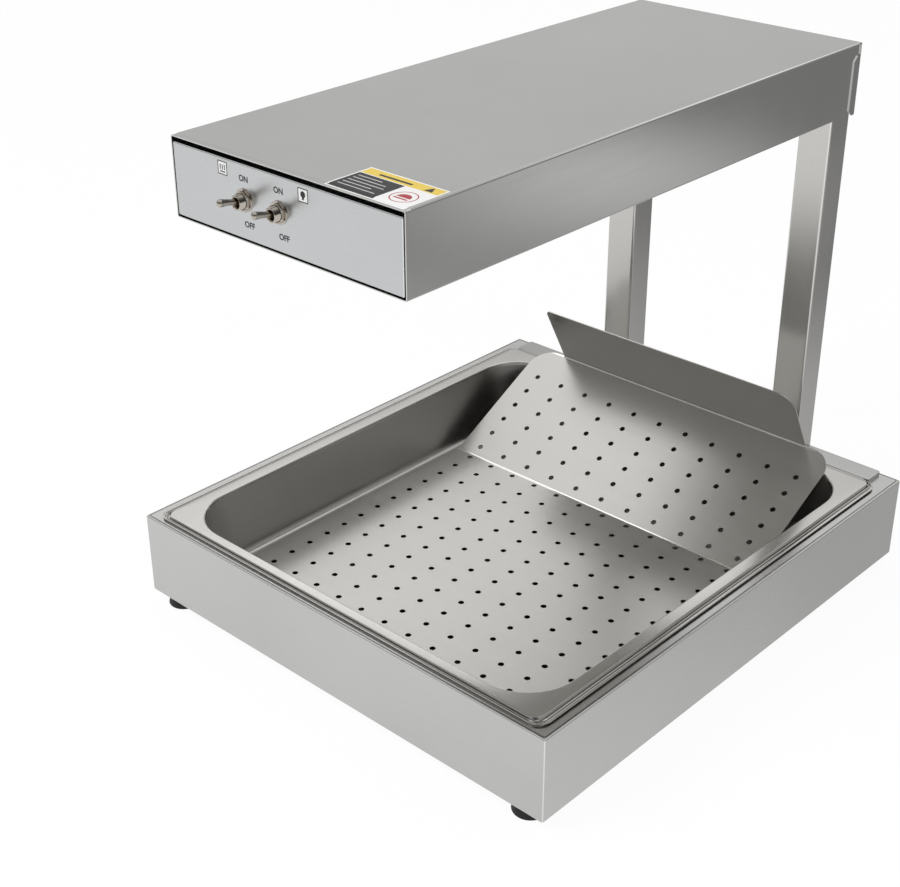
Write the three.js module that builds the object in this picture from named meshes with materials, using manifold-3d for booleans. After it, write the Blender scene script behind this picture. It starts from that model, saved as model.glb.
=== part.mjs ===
// French fry dump station: a heated base with a lift-out pan and perforated tray, under a heated hood on two posts.
// Millimetres, +Z up. +X is to the right seen from the switches, +Y goes back to the posts.
// Sizes are worked out with y = 0 at the base's front face and z = 0 at the floor; the whole is centred at the end.
import * as THREE from 'three';
import { mergeVertices } from 'three/addons/utils/BufferGeometryUtils.js';
import Module from 'manifold-3d';

const wasm = await Module();
wasm.setup();

// Common sizes
const sheet = 1; // folded stainless sheet
const seatGap = 0.3; // between a piece that moves and its seat
const overrun = 2; // how far a cutting shape runs past what it cuts
const roundSides = 16; // sides of turned pieces
const smallSides = 8; // sides of screws, wires and their holes
const cornerSteps = 6; // steps in a rounded corner
const hexSides = 6;

// Base box
const baseWidth = 480;
const baseLength = 528;
const baseHeight = 81;
const baseBottomFlange = 28; // turned in under the walls, carries the bottom plate
const baseSideFlange = 34; // the same under the side walls, where it carries the feet too
const footHeight = 10;
const footRadius = 15;
const footTopRadius = 13;
const footSideInset = 26;
const footEndInset = 16;
const footRecessRadius = 7;
const footRecessDepth = 6;
const footHoleRadius = 2.6;

// Pan
const panLipSideInset = 9.5; // outer lip to the base's side
const panLipFrontInset = 6;
const panLipCorner = 13;
const panSideFlange = 19.5; // outer lip to opening, left and right
const panEndFlange = 14; // outer lip to opening, front and back
const panOpeningCorner = 50;
const panRimRise = 3.5; // flange top above the base's top
const panLipDrop = 2; // lip top below the flange top
const panLipSideWidth = 7.5;
const panLipEndWidth = 5;
const panRimRadius = 3; // opening edge, rolled over
const panFloorHeight = 29.5; // top of the pan's floor above the ground
const panWallTaper = 8; // how far the wall leans in from rim to floor
const panFloorRadius = 12; // between wall and floor
const panHoleClearance = 3; // base opening round the pan's wall

// Rear deck, the raised shelf behind the pan
const deckSideInset = 20;
const deckBackInset = 3;
const deckDepth = 22;
const deckToPan = 1;
const deckRise = 4;

// Perforated tray
const traySideGap = 7; // side edge to the end of the pan's flat floor
const trayFrontGap = 2; // front edge to the end of the pan's flat floor
const trayFrontCorner = 38;
const trayLeg = 4; // turned-down edges that stand on the pan's floor
const rampFootInset = 137; // ramp's foot before the back of the pan's lip
const rampAngle = THREE.MathUtils.degToRad(28);
const rampLength = 153.5;
const rampCorner = 25;
const flapSideInset = 33; // flap's side inside the ramp's side
const flapHeight = 74;
const flapLeftCorner = 6;
const flapRightCorner = 18;
const holeRadius = 2.8;
const holeSideInset = 22; // outermost holes inside the tray's side
const floorHoleColumns = 12;
const floorHolePitch = 22.9;
const floorHoleFirst = 6; // ramp's foot to the first row
const floorHoleMargin = 12; // front edge to the last row, at least
const rampHoleColumns = 11;
const rampHoleRows = 6;
const rampHolePitch = 20.9;
const rampHoleFirst = 12; // ramp's foot to the first row

// Posts
const postWidth = 33;
const postDepth = 31;
const postWall = 1.5;
const postFootHeight = 14; // lower end above the ground
const postTopGap = 12; // upper end below the hood's top sheet
const postPlateThickness = 2;
const postPlateSide = 18; // plate beyond the tube, each side
const postPlateHeight = 56;
const postPlateFromTop = 12; // plate's upper edge below the base's top
const postWireHole = 7;

// Hood
const hoodWidth = 248;
const hoodFrontReach = 20; // front of the hood before the base's front
const hoodBackReach = 37; // back of the hood behind the base's back
const hoodHeight = 66;
const hoodBottomHeight = 417;
const hoodLip = 15; // sides turned in at the bottom
const panelTopGap = 2.2;
const panelSideGap = 0.7;
const panelBottomGap = 1.2;
const panelReturn = 12;
const coverFlange = 10; // rear cover's side flanges
const coverFlangeDrop = 11; // flange's upper end below the hood's top
const coverChamfer = 5;
const coverScrewShares = [0.25, 0.6]; // screw heights, as shares of the hood's height

// Reflector trough and lamps
const troughFrontGap = 60; // hood's front to the trough
const troughBackGap = 66; // trough to the hood's back
const troughSideGap = 28; // hood's side to the trough's mouth
const troughLean = 22; // how far a side leans in from mouth to roof
const troughDepth = 44;
const lampSideInset = 28; // lamp's axis inside the trough's roof edge
const lampRadius = 6;
const lampBelowTop = 20; // lamp's axis below the trough's roof
const lampHolderWidth = 18;
const lampHolderHeight = 24;
const lampHolderLength = 14;
const guardRod = 1.5;
const guardAboveMouth = 8;
const guardCrossRods = 8;
const guardHalfWidth = 20; // long rod to the lamp's axis, seen from below
const reflectorFlange = 9; // turned out round the trough's mouth

// Toggle switches
const switchFromCentre = [-42, -4]; // left and right switch, from the hood's centre line
const switchNames = ['left', 'right'];
const washerRadius = 9;
const washerThickness = 1;
const nutAcross = 14;
const nutThickness = 2.6;
const bushingRadius = 5.8;
const bushingHoleRadius = 6.1;
const bushingReach = 8.5;
const bushingBore = 3;
const bushingMouth = 4.4;
const leverBall = 2.7;
const leverPivotReach = 3; // pivot before the panel's face
const leverLength = 23;
const leverRoot = 1.7;
const leverTip = 2.9;
const leverTilt = THREE.MathUtils.degToRad(11);
const switchBodyWidth = 17;
const switchBodyHeight = 28;
const switchBodyDepth = 19;
const terminalWidth = 4.8;
const terminalThickness = 0.8;
const terminalLength = 8;
const terminalPitch = 9.5;

// Heating and wiring in the base
const insulationSideInset = 39; // board inside the pan's opening, left and right
const heaterMargin = 6; // pad and plate stay inside the insulation by this
const heaterPadThickness = 1.5;
const heaterPlateThickness = 2;
const heaterFrontInset = 46; // board inside the pan's opening, front
const heaterBackInset = 48; // and back
const heaterPanGap = 0.5;
const thermostatRadius = 8;
const thermostatHeight = 6;
const thermostatClearance = 3;
const terminalBlockLength = 60;
const terminalBlockDepth = 20;
const terminalBlockHeight = 26;
const terminalBlockSideInset = 80; // inside the base's left side
const terminalScrewRadius = 3;
const terminalScrewDepth = 4;
const terminalWays = 5;
const glandShare = 1 / 3; // axis between the left post's plate and the base's side
const glandHeight = 50; // axis above the ground
const glandThreadRadius = 7.6;
const glandHoleRadius = 8;
const glandBore = 4.2;
const glandAcross = 22;
const glandHexThickness = 5;
const glandDomeRadius = 9.5;
const glandDomeLength = 13;
const glandThreadLength = 10;
const locknutThickness = 4;
const ventColumns = 5;
const ventRows = 2;
const ventLength = 42;
const ventWidth = 5;
const ventPitchX = 62;
const ventRowInset = 30; // slots from the insulation's ends, outside it
const loomRadius = 3;
const loomBend = 12;
const loomInBase = 30; // loom's length before the posts

// Screws
const footScrewRadius = 2.2;
const footScrewHead = 5;
const footScrewHeadHeight = 3;
const screwRadius = 1.7;
const screwHead = 3.6;
const screwHeadHeight = 2;
const screwHoleRadius = 2.1;
const bottomScrewInset = 8; // inside the base's outer face
const bottomScrewAlong = 120; // from the base's front and back
const boltRadius = 2.5;
const boltHoleRadius = 2.9;
const boltAcross = 8;
const boltHeadHeight = 3.5;
const boltGrip = 10;

// Places that follow from the sizes
const half = 1 / 2;
const baseBottom = footHeight;
const baseTop = baseBottom + baseHeight;
const baseHalf = baseWidth * half;
const panLipHalf = baseHalf - panLipSideInset;
const panFront = panLipFrontInset;
const deckBack = baseLength - deckBackInset;
const panBack = deckBack - deckDepth - deckToPan;
const panLipLength = panBack - panFront;
const panOpeningHalf = panLipHalf - panSideFlange;
const panOpeningFront = panFront + panEndFlange;
const panOpeningBack = panBack - panEndFlange;
const panCentreY = (panFront + panBack) * half;
const panTop = baseTop + panRimRise;
const trayFloorTop = panFloorHeight + seatGap + trayLeg + sheet;
const trayFront = panOpeningFront + panWallTaper + panFloorRadius + trayFrontGap;
const trayHalfWidth = panOpeningHalf - panWallTaper - panFloorRadius - traySideGap;
const flapHalfWidth = trayHalfWidth - flapSideInset;
const holeHalfSpread = trayHalfWidth - holeSideInset;
const rampFootY = panBack - rampFootInset;
const floorHoleRun = rampFootY - floorHoleFirst - floorHoleMargin - trayFront;
const floorHoleRows = 1 + Math.floor(floorHoleRun / floorHolePitch);
const hoodHalf = hoodWidth * half;
const troughMouthHalf = hoodHalf - troughSideGap;
const troughTopHalf = troughMouthHalf - troughLean;
const lampOffset = troughTopHalf - lampSideInset;
const hoodFront = -hoodFrontReach;
const hoodBack = baseLength + hoodBackReach;
const hoodTop = hoodBottomHeight + hoodHeight;
const postOuter = hoodHalf - sheet;
const postInner = postOuter - postWidth;
const postFront = baseLength + postPlateThickness;
const postBack = postFront + postDepth;
const postTop = hoodTop - sheet - postTopGap;
const switchHeight = hoodBottomHeight + hoodHeight * half;
const bottomPlateTop = baseBottom + 2 * sheet;
const insulationHalfWidth = panOpeningHalf - insulationSideInset;
const heaterFrontY = panOpeningFront + heaterFrontInset;
const heaterBackY = panOpeningBack - heaterBackInset;
const terminalBlockX = -baseHalf + terminalBlockSideInset;
const postPlateOuter = postOuter + postPlateSide;
const glandX = -postPlateOuter - (baseHalf - postPlateOuter) * glandShare;

// Materials
function steel(colour, roughness) {
  return new THREE.MeshStandardMaterial({ color: colour, metalness: 1, roughness });
}
function plastic(colour, roughness) {
  return new THREE.MeshStandardMaterial({ color: colour, metalness: 0, roughness });
}
const finishes = {
  brushed: () => steel(0xc4c5c2, 0.38),
  panel: () => steel(0xd2d5d5, 0.3),
  polished: () => steel(0xd8d8d6, 0.15),
  pan: () => steel(0xb9b8b4, 0.28),
  tray: () => steel(0xbdbbb6, 0.4),
  nickel: () => steel(0xc9c2b8, 0.2),
  zinc: () => steel(0xb4b6b8, 0.35),
  aluminium: () => steel(0xc8cacc, 0.45),
  rubber: () => plastic(0x1b1b1c, 0.85),
  black: () => plastic(0x202022, 0.5),
  red: () => plastic(0x8c3a24, 0.6),
  ceramic: () => plastic(0xe6e0d2, 0.6),
  wool: () => plastic(0xd9d4c4, 0.95),
  quartz: () => new THREE.MeshStandardMaterial({ color: 0xe9dcc8, roughness: 0.1, transparent: true, opacity: 0.6 }),
};

// Solids: joining and cutting
function toSolid(geometry) {
  const bare = geometry.clone();
  bare.deleteAttribute('normal');
  bare.deleteAttribute('uv');
  const merged = mergeVertices(bare);
  const index = merged.index.array;
  const triangles = [];
  for (let i = 0; i < index.length; i += 3) {
    const [a, b, c] = [index[i], index[i + 1], index[i + 2]];
    if (a !== b && b !== c && c !== a) triangles.push(a, b, c);
  }
  const vertProperties = Float32Array.from(merged.attributes.position.array);
  const triVerts = Uint32Array.from(triangles);
  return new wasm.Manifold(new wasm.Mesh({ numProp: 3, vertProperties, triVerts }));
}
function toGeometry(solid) {
  const mesh = solid.getMesh();
  const geometry = new THREE.BufferGeometry();
  geometry.setAttribute('position', new THREE.BufferAttribute(Float32Array.from(mesh.vertProperties), 3));
  geometry.setIndex(new THREE.BufferAttribute(Uint32Array.from(mesh.triVerts), 1));
  geometry.computeVertexNormals();
  return geometry;
}
function join(...geometries) {
  const [first, ...others] = geometries.map(toSolid);
  return toGeometry(others.reduce((sum, next) => sum.add(next), first));
}
function cut(body, ...tools) {
  return toGeometry(tools.map(toSolid).reduce((rest, tool) => rest.subtract(tool), toSolid(body)));
}

// Exact quarter turns: a drawing in x and y stood up on the X axis, or carried round to face X
const standing = new THREE.Matrix4().set(1, 0, 0, 0, 0, 0, -1, 0, 0, 1, 0, 0, 0, 0, 0, 1);
const sideways = new THREE.Matrix4().set(0, 0, 1, 0, 1, 0, 0, 0, 0, 1, 0, 0, 0, 0, 0, 1);

// Shapes
function block(x0, x1, y0, y1, z0, z1) {
  const box = new THREE.BoxGeometry(x1 - x0, y1 - y0, z1 - z0);
  return box.translate((x0 + x1) * half, (y0 + y1) * half, (z0 + z1) * half);
}
// A turned piece: points are [radius, distance along the axis], from one end of the axis to the other or closed
function turned(points, sides, axis) {
  const geometry = new THREE.LatheGeometry(points.map(([r, d]) => new THREE.Vector2(r, d)), sides);
  return axis === 'z' ? geometry.applyMatrix4(standing) : geometry;
}
// A hexagonal prism round the Y or Z axis
function hexagon(across, length, axis) {
  return turned(solidRod(across / Math.sqrt(3), 0, length), hexSides, axis);
}
function solidRod(radius, from, to) {
  return [[0, from], [radius, from], [radius, to], [0, to]];
}
function rod(radius, from, to, sides, axis) {
  return turned(solidRod(radius, from, to), sides, axis);
}
// Corner points of a rounded rectangle, anticlockwise seen from above
function roundedRing(halfX, halfY, radius, centreY, z) {
  const ring = [];
  const corners = [[1, 1], [-1, 1], [-1, -1], [1, -1]];
  corners.forEach(([sx, sy], quarter) => {
    for (let i = 0; i <= cornerSteps; i++) {
      const angle = (quarter + i / cornerSteps) * Math.PI * half;
      const x = sx * (halfX - radius) + radius * Math.cos(angle);
      const y = sy * (halfY - radius) + radius * Math.sin(angle);
      ring.push([x, centreY + y, z]);
    }
  });
  return ring;
}
// A closed body through a stack of rings, with both end rings filled flat
function ringBody(rings) {
  const count = rings[0].length;
  const points = rings.flat();
  const faces = [];
  for (let r = 0; r + 1 < rings.length; r++) {
    for (let i = 0; i < count; i++) {
      const a = r * count + i;
      const b = r * count + (i + 1) % count;
      faces.push(a, b, b + count, a, b + count, a + count);
    }
  }
  const top = (rings.length - 1) * count;
  for (let i = 1; i + 1 < count; i++) {
    faces.push(0, i + 1, i);
    faces.push(top, top + i, top + i + 1);
  }
  const geometry = new THREE.BufferGeometry();
  geometry.setAttribute('position', new THREE.Float32BufferAttribute(points.flat(), 3));
  geometry.setIndex(faces);
  geometry.computeVertexNormals();
  return geometry;
}
function roundedBlock(halfX, halfY, radius, centreY, z0, z1) {
  return ringBody([roundedRing(halfX, halfY, radius, centreY, z0), roundedRing(halfX, halfY, radius, centreY, z1)]);
}
// A flat plate from an outline drawn in x and y, from z = 0 up
function plate(shape, thickness, curveSegments) {
  return new THREE.ExtrudeGeometry(shape, { depth: thickness, bevelEnabled: false, curveSegments });
}
// An outline with its two far corners rounded; its near edge is straight
function tabShape(halfWidth, near, far, radius, leftRadius = radius) {
  const shape = new THREE.Shape();
  shape.moveTo(-halfWidth, near);
  shape.lineTo(halfWidth, near);
  shape.lineTo(halfWidth, far - radius);
  shape.absarc(halfWidth - radius, far - radius, radius, 0, Math.PI * half);
  shape.lineTo(-halfWidth + leftRadius, far);
  shape.absarc(-halfWidth + leftRadius, far - leftRadius, leftRadius, Math.PI * half, Math.PI);
  return shape;
}
function punch(shape, x, y) {
  const hole = new THREE.Path();
  for (let i = 0; i < hexSides; i++) {
    const angle = 2 * Math.PI * i / hexSides;
    const [px, py] = [x + holeRadius * Math.cos(angle), y - holeRadius * Math.sin(angle)];
    if (i === 0) hole.moveTo(px, py);
    else hole.lineTo(px, py);
  }
  hole.closePath();
  shape.holes.push(hole);
}
function punchGrid(shape, columns, rows, firstRow, pitch) {
  for (let row = 0; row < rows; row++) {
    for (let column = 0; column < columns; column++) {
      const across = -holeHalfSpread + 2 * holeHalfSpread * column / (columns - 1);
      punch(shape, across, firstRow + row * pitch);
    }
  }
}

// Base box: four walls, a top with the pan's opening and a flange turned in at the bottom
function baseShell() {
  const outer = block(-baseHalf, baseHalf, 0, baseLength, baseBottom, baseTop);
  const innerHalf = baseHalf - sheet;
  const inside = block(-innerHalf, innerHalf, sheet, baseLength - sheet, baseBottom + sheet, baseTop - sheet);
  const holeHalfX = panOpeningHalf + panHoleClearance;
  const holeHalfY = (panOpeningBack - panOpeningFront) * half + panHoleClearance;
  const holeCorner = panOpeningCorner + panHoleClearance;
  const panHole = roundedBlock(holeHalfX, holeHalfY, holeCorner, panCentreY, baseTop - overrun, baseTop + overrun);
  const mouthHalf = baseHalf - baseSideFlange;
  const mouthBack = baseLength - baseBottomFlange;
  const mouth = block(-mouthHalf, mouthHalf, baseBottomFlange, mouthBack, baseBottom - overrun, baseBottom + overrun);
  const holes = [mouth];
  for (const [x, y] of footPlaces()) holes.push(downHole(footScrewRadius + seatGap, x, y, baseBottom));
  for (const [x, y] of bottomScrewPlaces()) holes.push(downHole(screwHoleRadius, x, y, baseBottom));
  for (const side of sides()) {
    holes.push(backHole(postWireHole, postCentreX(side), postWireHeight(), baseLength));
    for (const x of boltPlaces(side)) holes.push(backHole(boltHoleRadius, x, boltHeight(), baseLength));
  }
  holes.push(backHole(glandHoleRadius, glandX, glandHeight, baseLength, roundSides));
  return cut(outer, inside, panHole, ...holes);
}
// Tools for round holes through a sheet at z, or through a wall at y
function downHole(radius, x, y, z) {
  return rod(radius, -overrun - sheet, overrun + sheet, smallSides, 'z').translate(x, y, z);
}
function backHole(radius, x, z, y, sides = smallSides) {
  return rod(radius, -overrun - sheet, overrun + sheet, sides, 'y').translate(x, y, z);
}
function sides() {
  return [-1, 1];
}
function footPlaces() {
  const x = baseHalf - footSideInset;
  const back = baseLength - footEndInset;
  return [[-x, footEndInset], [x, footEndInset], [-x, back], [x, back]];
}
function bottomScrewPlaces() {
  const x = baseHalf - bottomScrewInset;
  const back = baseLength - bottomScrewAlong;
  return [[-x, bottomScrewAlong], [x, bottomScrewAlong], [-x, back], [x, back]];
}

// Bottom plate: lies on the base's flange, with cooling slots before and behind the insulation
function bottomPlate() {
  const halfX = baseHalf - sheet - seatGap;
  const body = block(-halfX, halfX, sheet + seatGap, baseLength - sheet - seatGap, baseBottom + sheet, bottomPlateTop);
  const holes = [];
  for (const [x, y] of footPlaces()) holes.push(downHole(footScrewRadius + seatGap, x, y, bottomPlateTop));
  for (const [x, y] of bottomScrewPlaces()) holes.push(downHole(screwHoleRadius, x, y, bottomPlateTop));
  for (let row = 0; row < ventRows; row++) {
    const y = row === 0 ? heaterFrontY - ventRowInset : heaterBackY + ventRowInset;
    for (let column = 0; column < ventColumns; column++) {
      const x = (column - (ventColumns - 1) * half) * ventPitchX;
      const [dx, dy] = [ventLength * half, ventWidth * half];
      holes.push(block(x - dx, x + dx, y - dy, y + dy, baseBottom, bottomPlateTop + overrun));
    }
  }
  return cut(body, ...holes);
}

// Rubber foot with a recess for its screw
function foot() {
  const points = [
    [footHoleRadius, footRecessDepth],
    [footRecessRadius, footRecessDepth],
    [footRecessRadius, 0],
    [footRadius, 0],
    [footTopRadius, footHeight],
    [footHoleRadius, footHeight],
    [footHoleRadius, footRecessDepth],
  ];
  return turned(points, roundSides, 'z');
}
// Screw with a flat round head; the head's underside is at 0 and the shank goes up
function footScrew() {
  const top = footHeight - footRecessDepth + 2 * sheet + overrun;
  return turned([
    [0, -footScrewHeadHeight],
    [footScrewHead, -footScrewHeadHeight],
    [footScrewHead, 0],
    [footScrewRadius, 0],
    [footScrewRadius, top],
    [0, top],
  ], smallSides, 'z');
}
function smallScrew(reach, axis) {
  return turned([
    [0, -screwHeadHeight],
    [screwHead * half, -screwHeadHeight],
    [screwHead, -screwHeadHeight * half],
    [screwHead, 0],
    [screwRadius, 0],
    [screwRadius, reach],
    [0, reach],
  ], smallSides, axis);
}

// Deck: a raised shelf with turned-down edges behind the pan
function rearDeck() {
  const halfX = baseHalf - deckSideInset;
  const front = panBack + deckToPan;
  const top = baseTop + deckRise;
  const outer = block(-halfX, halfX, front, deckBack, baseTop, top);
  const innerHalfX = halfX - sheet;
  return cut(outer, block(-innerHalfX, innerHalfX, front + sheet, deckBack - sheet, baseTop - overrun, top - sheet));
}

// Pan: floor, leaning walls, flat rim flange, step down and outer lip, as one drawn sheet
function pan() {
  const rings = [];
  const openingHalfY = (panOpeningBack - panOpeningFront) * half;
  const lipHalfY = panLipLength * half;
  const wallRing = (inward, z) => rings.push(
    roundedRing(panOpeningHalf - inward, openingHalfY - inward, panOpeningCorner - inward * half, panCentreY, z));
  const rimRing = (inward, z, sideways = 0) => rings.push(
    roundedRing(panLipHalf - inward - sideways, lipHalfY - inward, panLipCorner - inward * half, panCentreY, z));
  const widerSides = panLipSideWidth - panLipEndWidth;
  const lipTop = panTop - panLipDrop;
  const lipBottom = baseTop + seatGap;
  const underFlange = panTop - sheet;
  // Outside, from the floor up
  const quarterSteps = 3;
  for (let i = 0; i <= quarterSteps; i++) {
    const angle = Math.PI * half * i / quarterSteps;
    const inward = panWallTaper + panFloorRadius * (1 - Math.sin(angle)) - sheet;
    wallRing(inward, panFloorHeight - sheet + panFloorRadius * (1 - Math.cos(angle)));
  }
  wallRing(-sheet, underFlange);
  rimRing(panLipEndWidth + sheet, underFlange, widerSides);
  rimRing(panLipEndWidth + sheet, lipBottom, widerSides);
  rimRing(sheet, lipBottom);
  rimRing(0, lipBottom + sheet * half);
  rimRing(0, lipTop - sheet * half);
  rimRing(sheet * half, lipTop);
  rimRing(panLipEndWidth - sheet * half, lipTop, widerSides);
  rimRing(panLipEndWidth, panTop, widerSides);
  // Inside, from the rim down
  wallRing(-panRimRadius, panTop);
  wallRing(-panRimRadius * (1 - Math.SQRT1_2), panTop - panRimRadius * (1 - Math.SQRT1_2));
  wallRing(0, panTop - panRimRadius);
  for (let i = quarterSteps; i >= 0; i--) {
    const angle = Math.PI * half * i / quarterSteps;
    const inward = panWallTaper + panFloorRadius * (1 - Math.sin(angle));
    wallRing(inward, panFloorHeight + panFloorRadius * (1 - Math.cos(angle)));
  }
  return ringBody(rings);
}

// Tray: perforated floor on turned-down edges, perforated ramp and a plain guard flap square to the ramp
function tray() {
  const floorShape = tabShape(trayHalfWidth, -rampFootY, -trayFront, trayFrontCorner);
  punchGrid(floorShape, floorHoleColumns, floorHoleRows, floorHoleFirst - rampFootY, floorHolePitch);
  const floor = plate(floorShape, sheet, cornerSteps).rotateZ(Math.PI).translate(0, 0, trayFloorTop - sheet);
  const rampShape = tabShape(trayHalfWidth, 0, rampLength, rampCorner);
  punchGrid(rampShape, rampHoleColumns, rampHoleRows, rampHoleFirst, rampHolePitch);
  const ramp = plate(rampShape, sheet, cornerSteps).translate(0, 0, -sheet);
  const bendBack = sheet * Math.tan(rampAngle * half);
  const flapShape = tabShape(flapHalfWidth, -sheet, flapHeight, flapRightCorner, flapLeftCorner);
  const flap = plate(flapShape, sheet, cornerSteps).applyMatrix4(standing).translate(0, rampLength, 0);
  const raise = (piece) => piece.rotateX(rampAngle).translate(0, rampFootY, trayFloorTop);
  const bend = block(-trayHalfWidth, trayHalfWidth, -bendBack, bendBack, -sheet, 0);
  const legTop = trayFloorTop - sheet * half;
  const legBottom = trayFloorTop - sheet - trayLeg;
  const inner = trayHalfWidth - sheet;
  const legStart = trayFront + trayFrontCorner;
  const legEnd = rampFootY - trayLeg;
  const frontHalf = trayHalfWidth - trayFrontCorner;
  return join(
    floor,
    raise(ramp),
    raise(flap),
    bend.translate(0, rampFootY, trayFloorTop),
    block(-trayHalfWidth, -inner, legStart, legEnd, legBottom, legTop),
    block(inner, trayHalfWidth, legStart, legEnd, legBottom, legTop),
    block(-frontHalf, frontHalf, trayFront, trayFront + sheet, legBottom, legTop),
  );
}

// Posts: square tubes on bolted plates behind the base
function postCentreX(side) {
  return side * (postInner + postOuter) * half;
}
function postWireHeight() {
  return boltHeight();
}
function boltHeight() {
  return baseTop - postPlateFromTop - postPlateHeight * half;
}
function boltPlaces(side) {
  const offset = (postWidth + postPlateSide) * half;
  return [postCentreX(side) - offset, postCentreX(side) + offset];
}
function post(side) {
  const x = postCentreX(side);
  const [h, inner] = [postWidth * half, postWidth * half - postWall];
  const tube = block(x - h, x + h, postFront, postBack, postFootHeight, postTop);
  const bore = block(x - inner, x + inner, postFront + postWall, postBack - postWall,
    postFootHeight - overrun, postTop + overrun);
  const screwHoles = coverScrewPlaces().map(([place, z]) => backHole(screwHoleRadius, place, z, postBack));
  return cut(tube, bore, backHole(postWireHole, x, postWireHeight(), postFront), ...screwHoles);
}
function postPlate(side) {
  const x = postCentreX(side);
  const h = postWidth * half + postPlateSide;
  const top = baseTop - postPlateFromTop;
  const body = block(x - h, x + h, baseLength, postFront, top - postPlateHeight, top);
  const holes = boltPlaces(side).map((place) => backHole(boltHoleRadius, place, boltHeight(), baseLength));
  return cut(body, backHole(postWireHole, x, postWireHeight(), baseLength), ...holes);
}
// Hex bolt from behind, head outside the plate
function bolt() {
  const head = hexagon(boltAcross, boltHeadHeight, 'y');
  const shank = rod(boltRadius, -boltGrip, overrun, smallSides, 'y');
  return join(head, shank);
}

// Hood: top and sides in one sheet, turned in at the bottom along the sides and across the front
function hoodShell() {
  const back = hoodBack;
  const outer = block(-hoodHalf, hoodHalf, hoodFront, back, hoodBottomHeight, hoodTop);
  const inner = hoodHalf - sheet;
  const inside = block(-inner, inner, hoodFront - overrun, back + overrun, hoodBottomHeight + sheet, hoodTop - sheet);
  const mouth = hoodHalf - hoodLip;
  const opening = block(-mouth, mouth, hoodFront + panelReturn, back + overrun,
    hoodBottomHeight - overrun, hoodBottomHeight + overrun);
  const postNotch = block(-inner, inner, postFront - seatGap, back + overrun,
    hoodBottomHeight - overrun, hoodBottomHeight + overrun);
  return cut(outer, inside, opening, postNotch);
}
// Front panel: a shallow pan of sheet, set in the shell, with the two switch holes
function frontPanel() {
  const halfX = hoodHalf - sheet - panelSideGap;
  const bottom = hoodBottomHeight + sheet + panelBottomGap;
  const top = hoodTop - panelTopGap;
  const outer = block(-halfX, halfX, hoodFront, hoodFront + panelReturn, bottom, top);
  const inside = block(-halfX + sheet, halfX - sheet, hoodFront + sheet, hoodFront + panelReturn + overrun,
    bottom + sheet, top - sheet);
  return cut(outer, inside, ...switchHoles());
}
function switchHoles() {
  return switchFromCentre.map((x) => backHole(bushingHoleRadius, x, switchHeight, hoodFront, roundSides));
}
// Rear cover: back plate with two side flanges over the shell, their free corners cut off
function rearCover() {
  const outerHalf = hoodHalf + sheet;
  const front = hoodBack - coverFlange;
  const outer = block(-outerHalf, outerHalf, front, hoodBack + sheet, hoodBottomHeight, hoodTop);
  const inside = block(-hoodHalf, hoodHalf, front - overrun, hoodBack, hoodBottomHeight - overrun, hoodTop + overrun);
  const flangeTop = hoodTop - coverFlangeDrop;
  const upper = new THREE.Shape();
  upper.moveTo(front - overrun, flangeTop - coverChamfer - overrun);
  upper.lineTo(front + coverChamfer, flangeTop);
  upper.lineTo(hoodBack, flangeTop);
  upper.lineTo(hoodBack, hoodTop + overrun);
  upper.lineTo(front - overrun, hoodTop + overrun);
  const lower = new THREE.Shape();
  lower.moveTo(front - overrun, hoodBottomHeight - overrun);
  lower.lineTo(front + coverChamfer + overrun, hoodBottomHeight - overrun);
  lower.lineTo(front - overrun, hoodBottomHeight + coverChamfer + overrun);
  const across = (shape) => plate(shape, 2 * outerHalf + 2 * overrun, 1).applyMatrix4(sideways)
    .translate(-outerHalf - overrun, 0, 0);
  const holes = coverScrewPlaces().map(([x, z]) => backHole(screwHoleRadius, x, z, hoodBack));
  return cut(outer, inside, across(upper), across(lower), ...holes);
}
function coverScrewPlaces() {
  const x = postCentreX(1);
  const [low, high] = coverScrewShares.map((share) => hoodBottomHeight + hoodHeight * share);
  return [[-x, low], [x, low], [-x, high], [x, high]];
}

// Hood's underside: a flat sheet with the lamps' mouth, notched round the posts
function hoodBottom() {
  const z0 = hoodBottomHeight + sheet;
  const halfX = hoodHalf - sheet - seatGap;
  const front = hoodFront + panelReturn + seatGap;
  const flat = block(-halfX, halfX, front, hoodBack - seatGap, z0, z0 + sheet);
  const mouth = block(-troughMouthHalf, troughMouthHalf, troughFront(), troughBack(), z0 - overrun, z0 + overrun);
  const notches = sides().map((side) => {
    const x = postCentreX(side);
    const h = postWidth * half + seatGap;
    return block(x - h, x + h + overrun * half, postFront - seatGap, postBack + seatGap, z0 - overrun, z0 + overrun);
  });
  return cut(flat, mouth, ...notches);
}

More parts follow.
